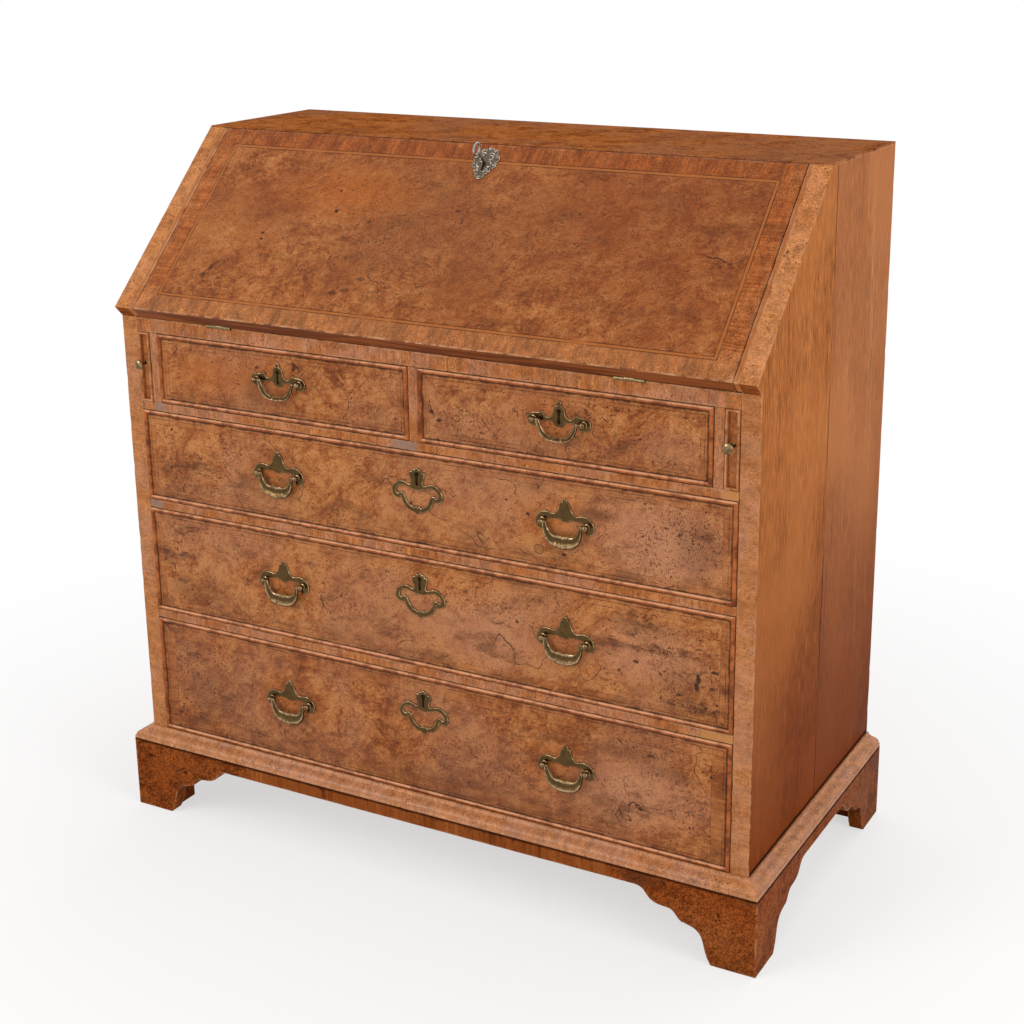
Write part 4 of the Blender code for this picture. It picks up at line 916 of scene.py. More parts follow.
rose, umber, amber = walnut["rose"], walnut["umber"], walnut["amber"]
frontLook = {"bead": 5.2 * mm, "rise": 2.5 * mm, "groove": 0.5 * mm, "pocket": 9 * mm, "nick": 0.45 * mm}
frontBase = {"tones": ("dark", "warm", "tan", "light"), "drift": 0.42, "driftColour": walnut["pink"],
             "fleck": 0.75,
             "crack": 0.95, "smudge": 0.5, "strip": 10.6 * mm, "grit": 0.22, "lowDirt": 0.45, "at": onFront}
frontLooks = {
    "small_left": {
        "margin": 16 * mm, "lowDirt": 0.25, "smudge": 0.2, "lift": 0.16,
        "stains": handleStains((-0.209, 0.680)) + faceStains(
            (-0.255, 0.655, (0.035, 0.04, 0.03), 0.45, umber),
            (-0.33, 0.672, (0.12, 0.05, 0.045), 0.5, amber)),
        "knots": [(2.4, 2.0, 0.75, (-128, 652), (-96, 662), (-318, 690))],
        "cracks": [(1.0, 0.8, (-70, 696), (-97, 664), (-101, 650), (-109, 637)),
                   (0.7, 0.5, (-106, 655), (-72, 645))]},
    "small_right": {
        "margin": 16 * mm, "lowDirt": 0.35, "smudge": 0.35, "lift": 0.17,
        "stains": handleStains((0.209, 0.680)) + faceStains((0.36, 0.660, (0.07, 0.04, 0.04), 0.35, rose)),
        "knots": [(6.0, 3.4, 0.85, (27, 665), (38, 655)), (3, 1.8, 0.8, (72, 672), (318, 668))],
        "cracks": [(1.2, 0.85, (27, 682), (26, 668)), (0.8, 0.7, (29, 702), (57, 678))]},
    "upper": {
        "margin": 18 * mm, "busyFrom": (0.22, 0.38), "lift": 0.25, "smudge": 0.65,
        "plugs": [((179.7, 506.7), 6.5 * mm)],
        "stains": handleStains((-0.217, 0.548), (0.217, 0.548)) + faceStains(
            (0.34, 0.540, (0.16, 0.05, 0.08), 0.55, rose), (0.26, 0.568, (0.040, 0.04, 0.012), 0.7, umber),
            (0.395, 0.545, (0.045, 0.04, 0.05), 0.40, umber),
            (-0.385, 0.525, (0.035, 0.04, 0.05), 0.5, (0.22, 0.06, 0.02))),
        "knots": [(4.2, 3.0, 0.9, (215, 505), (165, 551)), (3.4, 2.2, 0.8, (134, 565)),
                  (3.0, 2.0, 0.8, (-183, 541), (352, 562), (371, 556), (388, 548))],
        "cracks": [(1.0, 0.75, (-214, 596), (-198, 579), (-189, 562), (-186, 539)),
                   (0.8, 0.6, (292, 520), (330, 514), (345, 516))]},
    "middle": {
        "margin": 18 * mm, "smudge": 0.8, "busyFrom": (0.20, 0.36), "lift": 0.24,
        "stains": handleStains((-0.217, 0.393), (0.217, 0.393)) + faceStains(
            (0.10, 0.380, (0.12, 0.05, 0.07), 0.45, rose), (0.33, 0.430, (0.10, 0.04, 0.022), 0.45, umber),
            (0.38, 0.372, (0.07, 0.04, 0.05), 0.35, umber), (0.33, 0.395, (0.12, 0.05, 0.06), 0.50, rose),
            (-0.36, 0.350, (0.10, 0.05, 0.035), 0.4, umber)),
        "knots": [(4.0, 9.0, 0.85, (396, 366), (397, 376)), (6.5, 2.6, 0.85, (419, 388)),
                  (3.6, 2.6, 0.8, (291, 366), (314, 382), (147, 403)),
                  (3.2, 2.4, 0.75, (372, 350), (423, 345), (409, 340), (347, 372))],
        "cracks": [(0.8, 0.65, (407, 451), (430, 417), (432, 328)), (0.8, 0.7, (398, 385), (419, 388)),
                   (0.8, 0.6, (334, 372), (339, 352))]},
    "lower": {
        "margin": 26 * mm, "smudge": 0.65, "busyFrom": (0.20, 0.38), "lift": 0.15,
        "plugs": [((423.6, 146.5), 5.0 * mm)],
        "stains": handleStains((-0.217, 0.216), (0.217, 0.216)) + faceStains(
            (0.36, 0.235, (0.065, 0.05, 0.014), 0.6, umber), (0.30, 0.253, (0.09, 0.05, 0.016), 0.5, umber),
            (0.33, 0.200, (0.14, 0.05, 0.06), 0.55, rose), (-0.36, 0.190, (0.07, 0.05, 0.06), 0.4, umber),
            (0.05, 0.150, (0.20, 0.05, 0.03), 0.35, umber)),
        "knots": [(3.6, 2.2, 0.9, (316, 186), (322, 181)), (7.0, 2.8, 0.6, (336, 258))],
        "cracks": [(1.3, 0.85, (306, 182), (312, 189), (319, 186), (326, 181)),
                   (1.2, 0.8, (293, 282), (290, 271), (300, 262)),
                   (0.9, 0.75, (373, 169), (398, 164), (425, 169))]}}
for frontName, frontMarks in frontLooks.items():
    materials[frontName] = frontVeneer("burrWalnut_" + frontName, {**frontBase, **frontMarks})

slopeBand = {"turn": lyingGrain, "tones": ("tan", "tan", "light", "light"), "facing": offSlope, "size": 1.8,
             "pore": 0.45, "tint": (0.50, 0.207, 0.084), "tinted": 0.9, "least": 0.45}
stileBand = {"turn": lyingGrain, "tones": ("tan", "tan", "light", "light"), "nickWay": (1, 1, 2.5),
             "size": 2.6,
             "pore": 0.5, "tint": (0.395, 0.183, 0.106), "tinted": 0.9, "nicked": 0.42, "least": 0.3,
             "gritWay": (0.5, 1, 1.6), "seen": (0.85, 0.95)}
lipBand = {"turn": lyingGrain, "tones": ("dark", "warm", "warm", "tan"), "facing": -upSlope,
           "seen": (0.85, 0.95),
           "tint": walnut["dark"]}
upperRail, middleRail, lowerRail = (0.6097, 0.6215), (0.4662, 0.4780), (0.2992, 0.3110)
railBand = {"turn": (0, 0, 0), "tones": ("warm", "tan", "tan", "light"), "nickWay": (2.5, 1, 1), "pore": 0.5,
            "size": 1.8, "nicked": 0.36, "tint": (0.42, 0.180, 0.095), "tinted": 0.7,
            "gritWay": (1.6, 1, 0.5),
            "repairs": [((-0.4235, -0.405), upperRail, walnut["grey"]),
                        ((-0.0335, 0.004), upperRail, walnut["grey"]),
                        ((-0.4445, -0.421), middleRail, walnut["grey"]),
                        ((0.424, 0.447), upperRail, walnut["gold"]),
                        ((0.402, 0.447), lowerRail, walnut["gold"])]}
mouldBand = {**railBand, "facing": (0, -0.6, 0.8), "seen": (0.30, 0.55),
             "tones": ("tan", "light", "light", "light"),
             "tint": (0.47, 0.215, 0.125), "least": 0.3, "repairs": ()}
loperBand = {"turn": slopeGrain, "tones": ("warm", "tan", "tan", "light"), "tinted": 0.0, "nicked": 0.12}
plainLooks = {
    "side": ("walnutSides", {
        "tones": ("warm", "tan", "tan", "light"), "size": 0.7, "pore": 0.15, "drift": (0.6, 4.0),
        "gloss": 0.004,
        # fade is painted shade, darker towards the bottom of the side
        "driftColour": (0.56, 0.200, 0.060), "dull": 0.36, "fade": (0.10, 0.74, (0.34, 0.17, 0.09), 0.9),
        "planks": ((frontFace + 0.232, 0.30, (0.36, 0.150, 0.085), 0.28),), "seams": (frontFace + 0.232,),
        "joint": corners("base_moulding")[1][2], "grit": 0.34, "gritWay": (1, 1.3, 0.12),
        "bands": [stileBand, slopeBand, lipBand]}),
    "rail": ("crossbandedRails", {
        "rubbed": (0.62, 0.34, 0.19), "tones": ("dark", "raw", "raw", "raw"), "turn": lyingGrain, "dull": 0.5,
        "gloss": 0.14, "bands": [railBand]}),
    "moulding": ("walnutMoulding", {
        "tones": ("warm", "tan", "light", "light"), "size": 1.4, "gloss": 0.22, "dull": 0.30, "relief": 0.35,
        "pore": 0.6, "drift": (0.4, 9.0), "bands": [mouldBand]}),
    "strip": ("walnutBeading", {
        "gloss": 0.14, "tones": ("warm", "tan", "tan", "light"), "turn": slopeGrain, "size": 1.3,
        "dull": 0.36}),
    "loper": ("walnutLopers", {
        "gloss": 0.14, "tones": ("warm", "tan", "tan", "light"), "turn": (math.radians(90), 0, 0),
        "size": 0.8,
        "dull": 0.36, "pore": 0.4, "bands": [loperBand]}),
    "oak": ("oakLinings", {
        "tones": ("drab", "raw", "raw", "raw"), "turn": lyingGrain, "size": 1.1, "pore": 0.12, "dull": 0.62,
        "gloss": 0.1, "grit": 0.26, "gritWay": (0.5, 0.12, 1), "drift": (0.6, 5.0),
        "driftColour": (0.36, 0.19, 0.085),
        "rubbed": (0.5, 0.36, 0.2)}),
    "back": ("pineBack", {
        "tones": ("drab", "raw", "raw", "raw"), "size": 0.9, "pore": 0.3, "dull": 0.66,
        "rubbed": (0.5, 0.36, 0.2),
        "drift": (0.6, 3.0), "driftColour": (0.235, 0.115, 0.050), "grit": 0.2, "gritWay": (1, 1, 0.16)}),
    "pigeonholes": ("walnutInterior", {
        "tones": ("warm", "warm", "tan", "tan"), "turn": lyingGrain, "pore": 0.35})}
for woodName, (label, woodLook) in plainLooks.items():
    materials[woodName] = plainWood(label, woodLook)
# each metal: body, rubbed and dull colours, roughness and, for some, the scale of its patches
metals = {"brass": ("oldBrass", (0.128, 0.074, 0.027), (0.56, 0.38, 0.20), (0.044, 0.026, 0.011), 0.17),
          "hinge": ("rubbedBrass", (0.30, 0.22, 0.11), (0.75, 0.62, 0.38), (0.08, 0.05, 0.02), 0.24),
          "cast": ("darkCastBrass", (0.170, 0.135, 0.100), (0.70, 0.62, 0.50), (0.06, 0.045, 0.035),
                   0.28, 90),
          "steel": ("dullSteel", (0.22, 0.19, 0.18), (0.62, 0.57, 0.54), (0.10, 0.08, 0.08), 0.34, 90)}
for metalName, metalLook in metals.items():
    materials[metalName] = oldMetal(*metalLook)
print("materials made:", len(materials))


def dress(node, shapes, material, slotName, **more):
    # a new piece that stands for one node of the frame
    makePiece("dressed_" + node, shapes, materials[material], slotName, (node,), **more)


# Case
case = {"sideEdge": 0.6 * mm, "bead": (2 * mm, -5.9 * mm), "beadEdge": 1.6 * mm, "gap": 0.3 * mm,
        "tuck": 0.05 * mm,
        "planks": 5, "plankGap": 0.2 * mm}


def makeSides():
    inner = corners("writing_bed")[1][0]
    lipFoot = hingeLine + offSlope * slope["fallThick"]
    head = lipFoot + upSlope * slope["length"]
    for name, hand, seed in (("left", -1, 3), ("right", 1, 4)):
        low, high = corners("side_" + name)
        outline = [(frontFace, low[2]), (frontFace, hingeLine[2]), lipFoot[1:], head[1:], (high[1], head[2]),
                   (high[1], low[2])]
        edges = sorted((hand * (inner + case["gap"]), high[0] if hand > 0 else low[0]))
        side = boardShape(outline, *edges, acrossAxes, case["sideEdge"], seed=seed)
        dress("side_" + name, [side], "side", "walnut_veneer")
        near, far = sorted(hand * (inner + offset) for offset in case["bead"])
        bead = boardShape(rectLoop(near, 0.6 * mm, far, slope["length"]), 1 * mm,
                          slope["fallThick"] + 0.35 * mm, slopeAxes, case["beadEdge"], seed=seed + 2)
        makePiece("fall_bead_" + name, [bead], materials["strip"], "walnut_veneer", body="carcass")


def makeTop():
    low, high = corners("top_board")
    sideTop = corners("side_right")[1][2]
    inner = corners("writing_bed")[1][0]
    gap, tuck = case["gap"], case["tuck"]

    def onFace(height, out):
        along = (height - hingeLine[2] - out * offSlope[2]) / upSlope[2]
        return hingeLine[1] + along * upSlope[1] + out * offSlope[1], height

    # a thin skin over the sides' ends, and the board itself between them
    skin = [onFace(sideTop - gap, slope["fallThick"] - tuck), onFace(high[2], slope["fallThick"] - tuck),
            (high[1] - tuck, high[2]), (high[1] - tuck, sideTop - gap)]
    core = [onFace(low[2], -gap), onFace(sideTop, -gap), (high[1], sideTop), (high[1], low[2])]
    skinEdge = min(0.5 * mm, (high[2] - sideTop) * 0.3)
    dress("top_board", [boardShape(skin, low[0] + tuck, high[0] - tuck, acrossAxes, skinEdge, 0,
                                   flat=skinEdge * 0.2),
                        boardShape(core, -inner, inner, acrossAxes, 0.4 * mm, 0)], "top", "burr_walnut")


def makeBoards():
    # each board: its seed and how deep its arrises are chipped
    boards = {"bottom_board": (20, 0.7), "dustboard_lower": (21, 0.7), "dustboard_middle": (22, 0.7),
              "dustboard_upper": (23, 0.7), "drawer_divider": (30, 0.5), "loper_divider_left": (31, 0.5),
              "loper_divider_right": (32, 0.5)}
    for node, (seed, chip) in boards.items():
        dress(node, [slabShape(*corners(node), 0.7 * mm, chip * mm, seed)], "rail", "walnut_veneer")
    low, high = corners("back_panel")
    shapes = []
    for index in range(case["planks"]):
        left, right = (low[0] + (high[0] - low[0]) * (index + end) / case["planks"] for end in (0, 1))
        shapes.append(slabShape((left + case["plankGap"], *low[1:]), (right - case["plankGap"], *high[1:]),
                                2.0 * mm, 1 * mm, 40 + index))
    dress("back_panel", shapes, "back", "oak_lining")


# Fall and key plates
fallLook = {"edge": 0.9 * mm, "reach": 4 * mm, "chip": 0.7 * mm, "keyhole": 8 * mm, "leaf": 2.4 * mm,
            "lock": 12.3 * mm}


def makeFallAndBed():
    half, length = corners("fall_board")[1][0], slope["length"]
    thick, edge = slope["fallThick"], fallLook["edge"]
    profile = roundedEdges(edge, fallLook["reach"], 0, thick)
    outline = rectLoop(-half, 0.3 * mm, half, length)
    rings = carried(slopeAxes, profile, lambda inset: drawnIn(outline, inset, edge * 1.05, board["run"]))
    chipEdges(rings, (51, 62), fallLook["chip"], 60 * mm, 8 * mm)
    wear = column(profile, 2)[:, None] * np.where((rings - hingeLine) @ upSlope < 5 * mm, 1.0, 0.3)
    shapes = [ringShape(rings, wear=wear, capFirst=False, capLast=False),
              pocketShape(keyholeLoop(fallPlate["keyhole"], 0, keySpot), thick, fallLook["keyhole"],
                          slopeAxes)]
    for name in ("left", "right"):
        low, high = corners("hinge_fall_leaf_" + name)
        loop = rectLoop(low[0] - 0.3 * mm, 5 * mm, high[0] + 0.3 * mm, 45.3 * mm)
        shapes.append(pocketShape(loop, 0, -fallLook["leaf"], slopeAxes))
    lock = rectLoop(-35.3 * mm, length - 49.3 * mm, 35.3 * mm, length - 4.5 * mm)
    shapes.append(pocketShape(lock, 0, -fallLook["lock"], slopeAxes))
    dress("fall_board", shapes, "fall", "burr_walnut", fill=offSlope,
          rimBox=(slopeAxes, (-half, 0), (half, length)))
    bed = slabShape(*corners("writing_bed"), 0.8 * mm, 0.6 * mm, 61)
    dress("writing_bed", [bed], "rail", "walnut_veneer")


def keyholeLoop(sizes, u, v):
    # a round head, a narrow slot and a flared round foot, from the head's centre down
    radius, slot, drop, foot = (sizes[key] for key in ("radius", "slot", "drop", "foot"))
    start, end = math.asin(slot / radius), math.asin(min(1.0, slot / foot))
    head = np.linspace(math.pi + start, 3 * math.pi - start, 24)
    low = np.linspace(end, 2 * math.pi - end, 18)
    ring = radius * np.stack([np.sin(head), np.cos(head)], axis=1)
    base = np.stack([foot * np.sin(low), -drop + foot + foot * np.cos(low)], axis=1)
    return np.vstack([ring, base]) + np.array([u, v])


# Plates and bails, in millimetres from the middle line; a third number of 1 marks a corner
fallPlate = {
    "keyhole": {"radius": 2.3 * mm, "slot": 1.7 * mm, "drop": 12 * mm, "foot": 1.8 * mm},
    "thick": 1.6 * mm,
    "half": [(0, 26), (4.5, 25.2), (6.6, 22.4, 1), (9.5, 23.4), (13.2, 21.2), (13.6, 17.6), (12.6, 14.6, 1),
             (16.5, 13.4), (19.2, 9.8), (18.6, 5.4), (16.4, 2.2, 1), (18.2, -0.8), (17.6, -5.0), (14.6, -8.2),
             (12.2, -9.0, 1), (12.8, -12.6), (10.4, -16.0), (7.6, -17.4, 1), (6.8, -20.6), (3.4, -24.6),
             (0, -26)]}
smallHandle = {
    "keyhole": {"radius": 3.1 * mm, "slot": 1.5 * mm, "drop": 16.4 * mm, "rise": 12.6 * mm, "foot": 2.4 * mm},
    "thick": 1.6 * mm, "post": 34.6 * mm,
    "plate": [(0, 25.4), (2.2, 24.7), (3.3, 22.8), (2.9, 21.0), (2.1, 19.8, 1), (4.6, 18.9), (6.8, 16.8),
              (8.0, 13.8), (8.2, 10.6), (8.9, 7.6), (11.6, 5.2), (15.4, 3.8), (19.2, 5.2), (21.6, 8.7),
              (22.8, 12.2, 1), (24.8, 9.4), (29.0, 8.3), (35.8, 7.8), (41.4, 4.8), (43.6, -0.8), (42.0, -6.2),
              (38.2, -9.0), (33.0, -9.4), (28.6, -7.6), (26.0, -3.8), (22.4, -1.4), (16.4, -1.0),
              (11.4, -1.1), (8.2, -1.8, 1), (6.8, -4.8), (3.8, -7.0), (0, -7.6)],
    "bail": [(24.8, 2.0, 29.6, 2.0), (23.2, -2.6, 28.2, -3.4), (21.2, -7.6, 26.8, -9.0),
             (18.4, -11.8, 24.2, -14.6), (15.0, -15.6, 20.4, -19.6), (11.0, -18.0, 15.8, -22.8),
             (7.0, -18.8, 10.0, -24.4), (4.8, -17.9, 6.4, -24.8), (2.6, -19.6, 3.2, -25.0),
             (1.2, -18.8, 1.4, -25.1), (0.0, -19.8, 0.0, -25.1)],
    "bailDeep": 4.2 * mm, "knuckle": 2.7 * mm, "ball": 4.3 * mm}
longHandle = {
    "thick": 1.6 * mm, "post": 31 * mm,
    "plate": [(0, 31.8), (2.2, 31.0), (3.5, 29.2), (3.0, 27.6, 1), (5.8, 26.3), (7.6, 23.4), (8.2, 20.4),
              (9.2, 17.4), (11.2, 14.6), (13.2, 12.6), (14.2, 11.6, 1), (17.4, 11.2), (22.4, 12.4),
              (28.0, 12.6), (34.2, 10.4), (39.0, 5.2), (41.2, -1.0), (40.2, -6.4), (36.6, -10.2),
              (31.6, -10.8), (28.4, -8.6), (27.6, -4.8), (28.0, -0.8), (26.0, 2.4), (21.6, 4.0), (15.0, 4.3),
              (9.0, 4.4), (5.6, 3.9, 1), (4.2, 2.2), (0, 1.6)],
    "bail": [(23.6, 2.0, 28.2, 2.2), (22.0, -2.6, 27.8, -3.8), (20.6, -7.0, 27.2, -10.0),
             (18.0, -11.0, 25.8, -16.4), (14.2, -13.8, 22.8, -22.6), (10.0, -14.8, 18.0, -27.4),
             (8.0, -15.0, 13.2, -29.6), (6.2, -13.8, 9.0, -30.8), (4.4, -15.2, 5.6, -31.3),
             (2.4, -14.6, 3.0, -31.6), (1.0, -15.6, 1.2, -31.7), (0.0, -15.0, 0.0, -31.8)],
    "bailDeep": 5.0 * mm, "knuckle": 2.6 * mm, "ball": 4.2 * mm}
centrePlate = {
    "keyhole": {"radius": 3.0 * mm, "slot": 1.6 * mm, "drop": 15.6 * mm, "rise": 23.0 * mm, "foot": 1.9 * mm},
    "thick": 1.8 * mm,
    "plate": [(0, 31.4), (2.0, 30.8), (3.2, 28.8, 1), (5.4, 29.4), (7.4, 27.8), (7.6, 25.8, 1), (10.0, 25.8),
              (11.8, 23.6), (12.0, 21.2), (10.8, 17.2), (9.4, 13.0), (8.8, 10.2), (9.8, 8.4, 1), (13.0, 8.6),
              (18.0, 10.6), (23.4, 11.4), (29.0, 9.8), (34.4, 5.6), (37.8, 0.0), (38.4, -5.6), (36.0, -10.2),
              (31.4, -12.6), (27.0, -12.4), (24.6, -10.6, 1), (23.6, -14.4), (20.4, -20.4), (14.6, -25.6),
              (8.4, -28.2), (5.0, -29.0, 1), (3.2, -30.8), (0, -31.8)],
    "loop": [(0, 1.2), (6.0, 1.8), (13.0, 4.0), (20.0, 5.4), (26.0, 4.6), (30.2, 1.4), (31.8, -2.8),
             (31.2, -5.4), (28.6, -6.4, 1), (26.4, -4.4), (22.6, -4.2), (19.6, -7.0), (17.6, -12.0),
             (14.4, -17.2), (10.4, -20.2), (7.6, -20.8, 1), (5.4, -22.8), (3.4, -21.2, 1), (1.6, -21.0),
             (0, -22.6, 1)]}


def plateLoop(half):
    # a plate's outline from its right half in millimetres, which starts and ends on the middle line
    rows = [(*point, 0)[:3] for point in half]
    rows += [(-u, v, corner) for u, v, corner in reversed(rows[1:-1])]
    return flowing([(u * mm, v * mm, corner) for u, v, corner in rows])


def plateProfile(thick, soft=0.75 * mm):
    # from the back of a plate to its face, with a broad filed edge
    return [(0.5 * mm, 0, 0.1), (0, 0, 0.1), (0, thick - soft, 0.3), (soft * 0.35, thick - soft * 0.35, 0.75),
            (soft, thick, 0.5), (soft + 0.35 * mm, thick, 0.0)]


def keyholeProfile(thick):
    # a keyhole's edge: nearly square, its walls given wear -1, which paints them near-black as shade
    return [(0.5 * mm, 0, -1), (0, 0, -1), (0, thick - 0.25 * mm, -1), (0.15 * mm, thick, 0.2),
            (0.45 * mm, thick, 0)]


def crescentShape(pairs, deep, pivot):
    # a bail as sections strung between an inner and an outer line, each with a ridge on its front
    rows = np.array(pairs, float) * mm
    rows = np.vstack([rows, (rows * np.array([-1, 1, -1, 1]))[-2::-1]])
    knots = np.vstack([2 * rows[0] - rows[1], rows, 2 * rows[-1] - rows[-2]])
    steps = (np.arange(7) / 7)[:, None]
    rows = np.vstack([between(*four, steps) for four in zip(knots, knots[1:], knots[2:], knots[3:])]
                     + [rows[-1:]])
    inner, outer = rows[:, :2], rows[:, 2:]
    front = np.array([0, 0.06, 0.13, 0.22, 0.34, 0.46, 0.58, 0.68, 0.77, 0.86, 0.94, 1.0])
    back = np.linspace(1, 0, 7)[1:-1]
    ridge = np.interp(front, [0, 0.08, 0.16, 0.30, 0.46, 0.62, 0.74, 0.84, 0.94, 1.0],
                      [0.10, 0.52, 0.55, 0.22, 0.24, 0.62, 0.96, 0.98, 0.62, 0.10])
    height = np.concatenate([ridge, -0.45 - 0.25 * np.sin(back * math.pi)])
    depth = np.minimum(deep, np.linalg.norm(outer - inner, axis=1) * 0.85) / 1.7
    flat = inner[:, None] + (outer - inner)[:, None] * np.concatenate([front, back])[None, :, None]
    rings = lay((pivot, across, upward, -into), flat[..., 0], flat[..., 1], depth[:, None] * height[None])
    bright = np.exp(-((front - 0.11) / 0.06) ** 2) + np.exp(-((front - 0.79) / 0.09) ** 2)
    wear = np.broadcast_to(np.concatenate([bright, np.zeros(len(back))]), rings.shape[:2])
    return ringShape(rings, wear=wear)


def makeHandle(look, name):
    pivot = pivots["bail_" + name]
    backAt = frontFace - 0.25 * mm
    thick, reach = look["thick"], backAt - pivot[1]
    loops = [plateLoop(look["plate"])]
    if "keyhole" in look:
        loops.append(keyholeLoop(look["keyhole"], 0, look["keyhole"]["rise"]))
    axes = (np.array([pivot[0], backAt, pivot[2]]), across, upward, -into)
    shapes = loopShapes(loops, [plateProfile(thick), keyholeProfile(thick)], axes)
    bail = [crescentShape(look["bail"], look["bailDeep"], pivot)]
    knuckle = (look["bail"][0][0] + look["bail"][0][2]) / 2 * mm
    pin = look["post"] - knuckle
    for hand in (-1, 1):
        centre = np.array([pivot[0] + hand * look["post"], backAt, pivot[2]])
        stem = [(thick - 0.3 * mm, 0), (thick - 0.3 * mm, 4.4 * mm), (thick + 0.5 * mm, 4.2 * mm),
                (thick + 1.1 * mm, 3.1 * mm), (reach - 2 * mm, 2.5 * mm), (reach, 2.5 * mm), (reach, 0)]
        shapes += [turnedShape(stem, centre, -into, wear=0.35),
                   ballShape(centre - into * reach, look["ball"])]
        spot = pivot + across * hand * knuckle
        bail += [ballShape(spot, look["knuckle"], axis=(1, 0, 0)),
                 turnedShape([(0, 0), (0, 1.4 * mm), (pin, 1.4 * mm), (pin, 0)], spot, across * hand, 14,
                             wear=0.2)]
    dress("handle_plate_" + name, shapes, "brass", "old_brass", fill=into)
    dress("bail_" + name, bail, "brass", "old_brass")


def makeCentrePlate(name):
    low, high = corners("escutcheon_" + name)
    middle = (low + high) / 2
    keyhole, thick = centrePlate["keyhole"], centrePlate["thick"]
    axes = (np.array([middle[0], frontFace - 0.25 * mm, middle[2]]), across, upward, -into)
    loops = [plateLoop(centrePlate["plate"]), plateLoop(centrePlate["loop"]),
             keyholeLoop(keyhole, 0, keyhole["rise"])]
    edges = [plateProfile(thick, 0.9 * mm)] * 2 + [keyholeProfile(thick)]
    dress("escutcheon_" + name, loopShapes(loops, edges, axes), "brass", "old_brass", fill=into)
    return middle


# Drawers
def beadedShapes(low, high, panelY, bead, rise, keyholes, seed):
    # a front whose edge profile runs up over a rounded bead and down to the panel inside it
    thick, top, radius, lift = high[1] - panelY, high[1] - low[1], bead / 2, rise * 0.86
    axes = (np.array([0, high[1], 0]), across, upward, -into)
    over = [(radius - radius * math.cos(a), top - lift + lift * math.sin(a))
            for a in np.radians([0, 25, 50, 75, 90, 105, 130, 155, 180])]
    floor = thick - frontLook["groove"]
    # rows are inset, height, wear and trim
    profile = [(3 * mm, 0, 0, 0), (0.5 * mm, 0, 0, 0), (0, 0.5 * mm, 0, 0), (0, thick - 3.1 * mm, 0, 0),
               (0, thick - 3 * mm, 0, 1)]
    profile += [(*place, w, 1) for place, w in zip(over, (0.1, 0.3, 0.7, 1.0, 1.0, 1.0, 0.7, 0.3, 0.1))]
    profile += [(bead + 0.05 * mm, floor, 0, 1), (bead + 0.25 * mm, floor, 0, 0),
                (bead + 0.45 * mm, thick, 0, 0), (bead + 5 * mm, thick, 0, 0)]
    outline = rectLoop(low[0], low[2], high[0], high[2])
    rings = carried(axes, profile, lambda inset: drawnIn(outline, inset, 0.6 * mm, 5 * mm))
    wear = column(profile, 2)
    nicks = dips(runLength(rings[0]), seed, 55 * mm, 4 * mm)
    rings += (wear * frontLook["nick"])[:, None, None] * nicks[:, None] * into
    shapes = [ringShape(rings, wear=wear, trim=column(profile, 3), capLast=not keyholes)]
    return shapes + [pocketShape(loop[::-1], thick, frontLook["pocket"], axes) for loop in keyholes]


def boxShapes(low, high, wall, floor, seed):
    # an open drawer box: two sides, a back and a bottom let in between them
    (x0, y0, z0), (x1, y1, z1) = low, high
    return [slabShape((x0, y0, z0), (x0 + wall, y1, z1), 0.6 * mm, 0.4 * mm, seed),
            slabShape((x1 - wall, y0, z0), (x1, y1, z1), 0.6 * mm, 0.4 * mm, seed + 1),
            slabShape((x0 + wall, y1 - wall, z0), (x1 - wall, y1, z1 - 3 * mm), 0.6 * mm, 0.4 * mm, seed + 2),
            slabShape((x0 + wall, y0, z0 + 1 * mm), (x1 - wall, y1 - wall, z0 + floor), 0.4 * mm)]


def makeDrawers():
    for name, seed in (("small_left", 70), ("small_right", 71), ("upper", 73), ("middle", 74), ("lower", 75)):
        small = name.startswith("small")
        middle = pivots["bail_" + name] if small else makeCentrePlate(name)
        keyhole = (smallHandle if small else centrePlate)["keyhole"]
        hole = keyholeLoop(keyhole, middle[0], middle[2] + keyhole["rise"])
        low, high = corners("drawer_front_" + name)
        shapes = beadedShapes(low, high, frontFace, frontLook["bead"], frontLook["rise"], [hole], seed)
        dress("drawer_front_" + name, shapes, name, "burr_walnut", fill=into,
              rimBox=(frontAxes, (low[0], low[2]), (high[0], high[2])))
        box = boxShapes(*corners("drawer_box_" + name), 9 * mm, 6 * mm, seed * 3)
        dress("drawer_box_" + name, box, "oak", "oak_lining")
        for side in [""] if small else ["_left", "_right"]:
            makeHandle(smallHandle if small else longHandle, name + side)


loperLook = {"bead": 3.2 * mm, "rise": 2 * mm, "recess": 5 * mm,
             "knob": [(0, 0), (0, 3.4), (0.8, 3.4), (1.6, 2.6), (2.2, 2.0), (11.5, 2.0), (12.6, 3.2),
                      (13.3, 3.3), (14.0, 4.6), (15.2, 6.2), (16.6, 7.0), (18.0, 6.9), (19.2, 5.8),
                      (20.1, 3.6), (20.5, 0)]}


def knobShape(rows, x, y, z):
    return turnedShape(np.array(rows) * mm, np.array([x, y, z]), -into, wear=0.4)


def makeLopers():
    for name, seed in (("left", 90), ("right", 91)):
        low, high = corners("loper_" + name)
        panelY = low[1] + loperLook["recess"]
        shapes = beadedShapes(low, high, panelY, loperLook["bead"], loperLook["rise"], [], seed)
        dress("loper_" + name, shapes, "loper", "walnut_veneer")
        low, high = corners("loper_knob_" + name)
        x, y, z = (low + high) / 2
        knob = knobShape(loperLook["knob"], x, panelY + 0.2 * mm, z)
        dress("loper_knob_" + name, [knob], "brass", "old_brass")


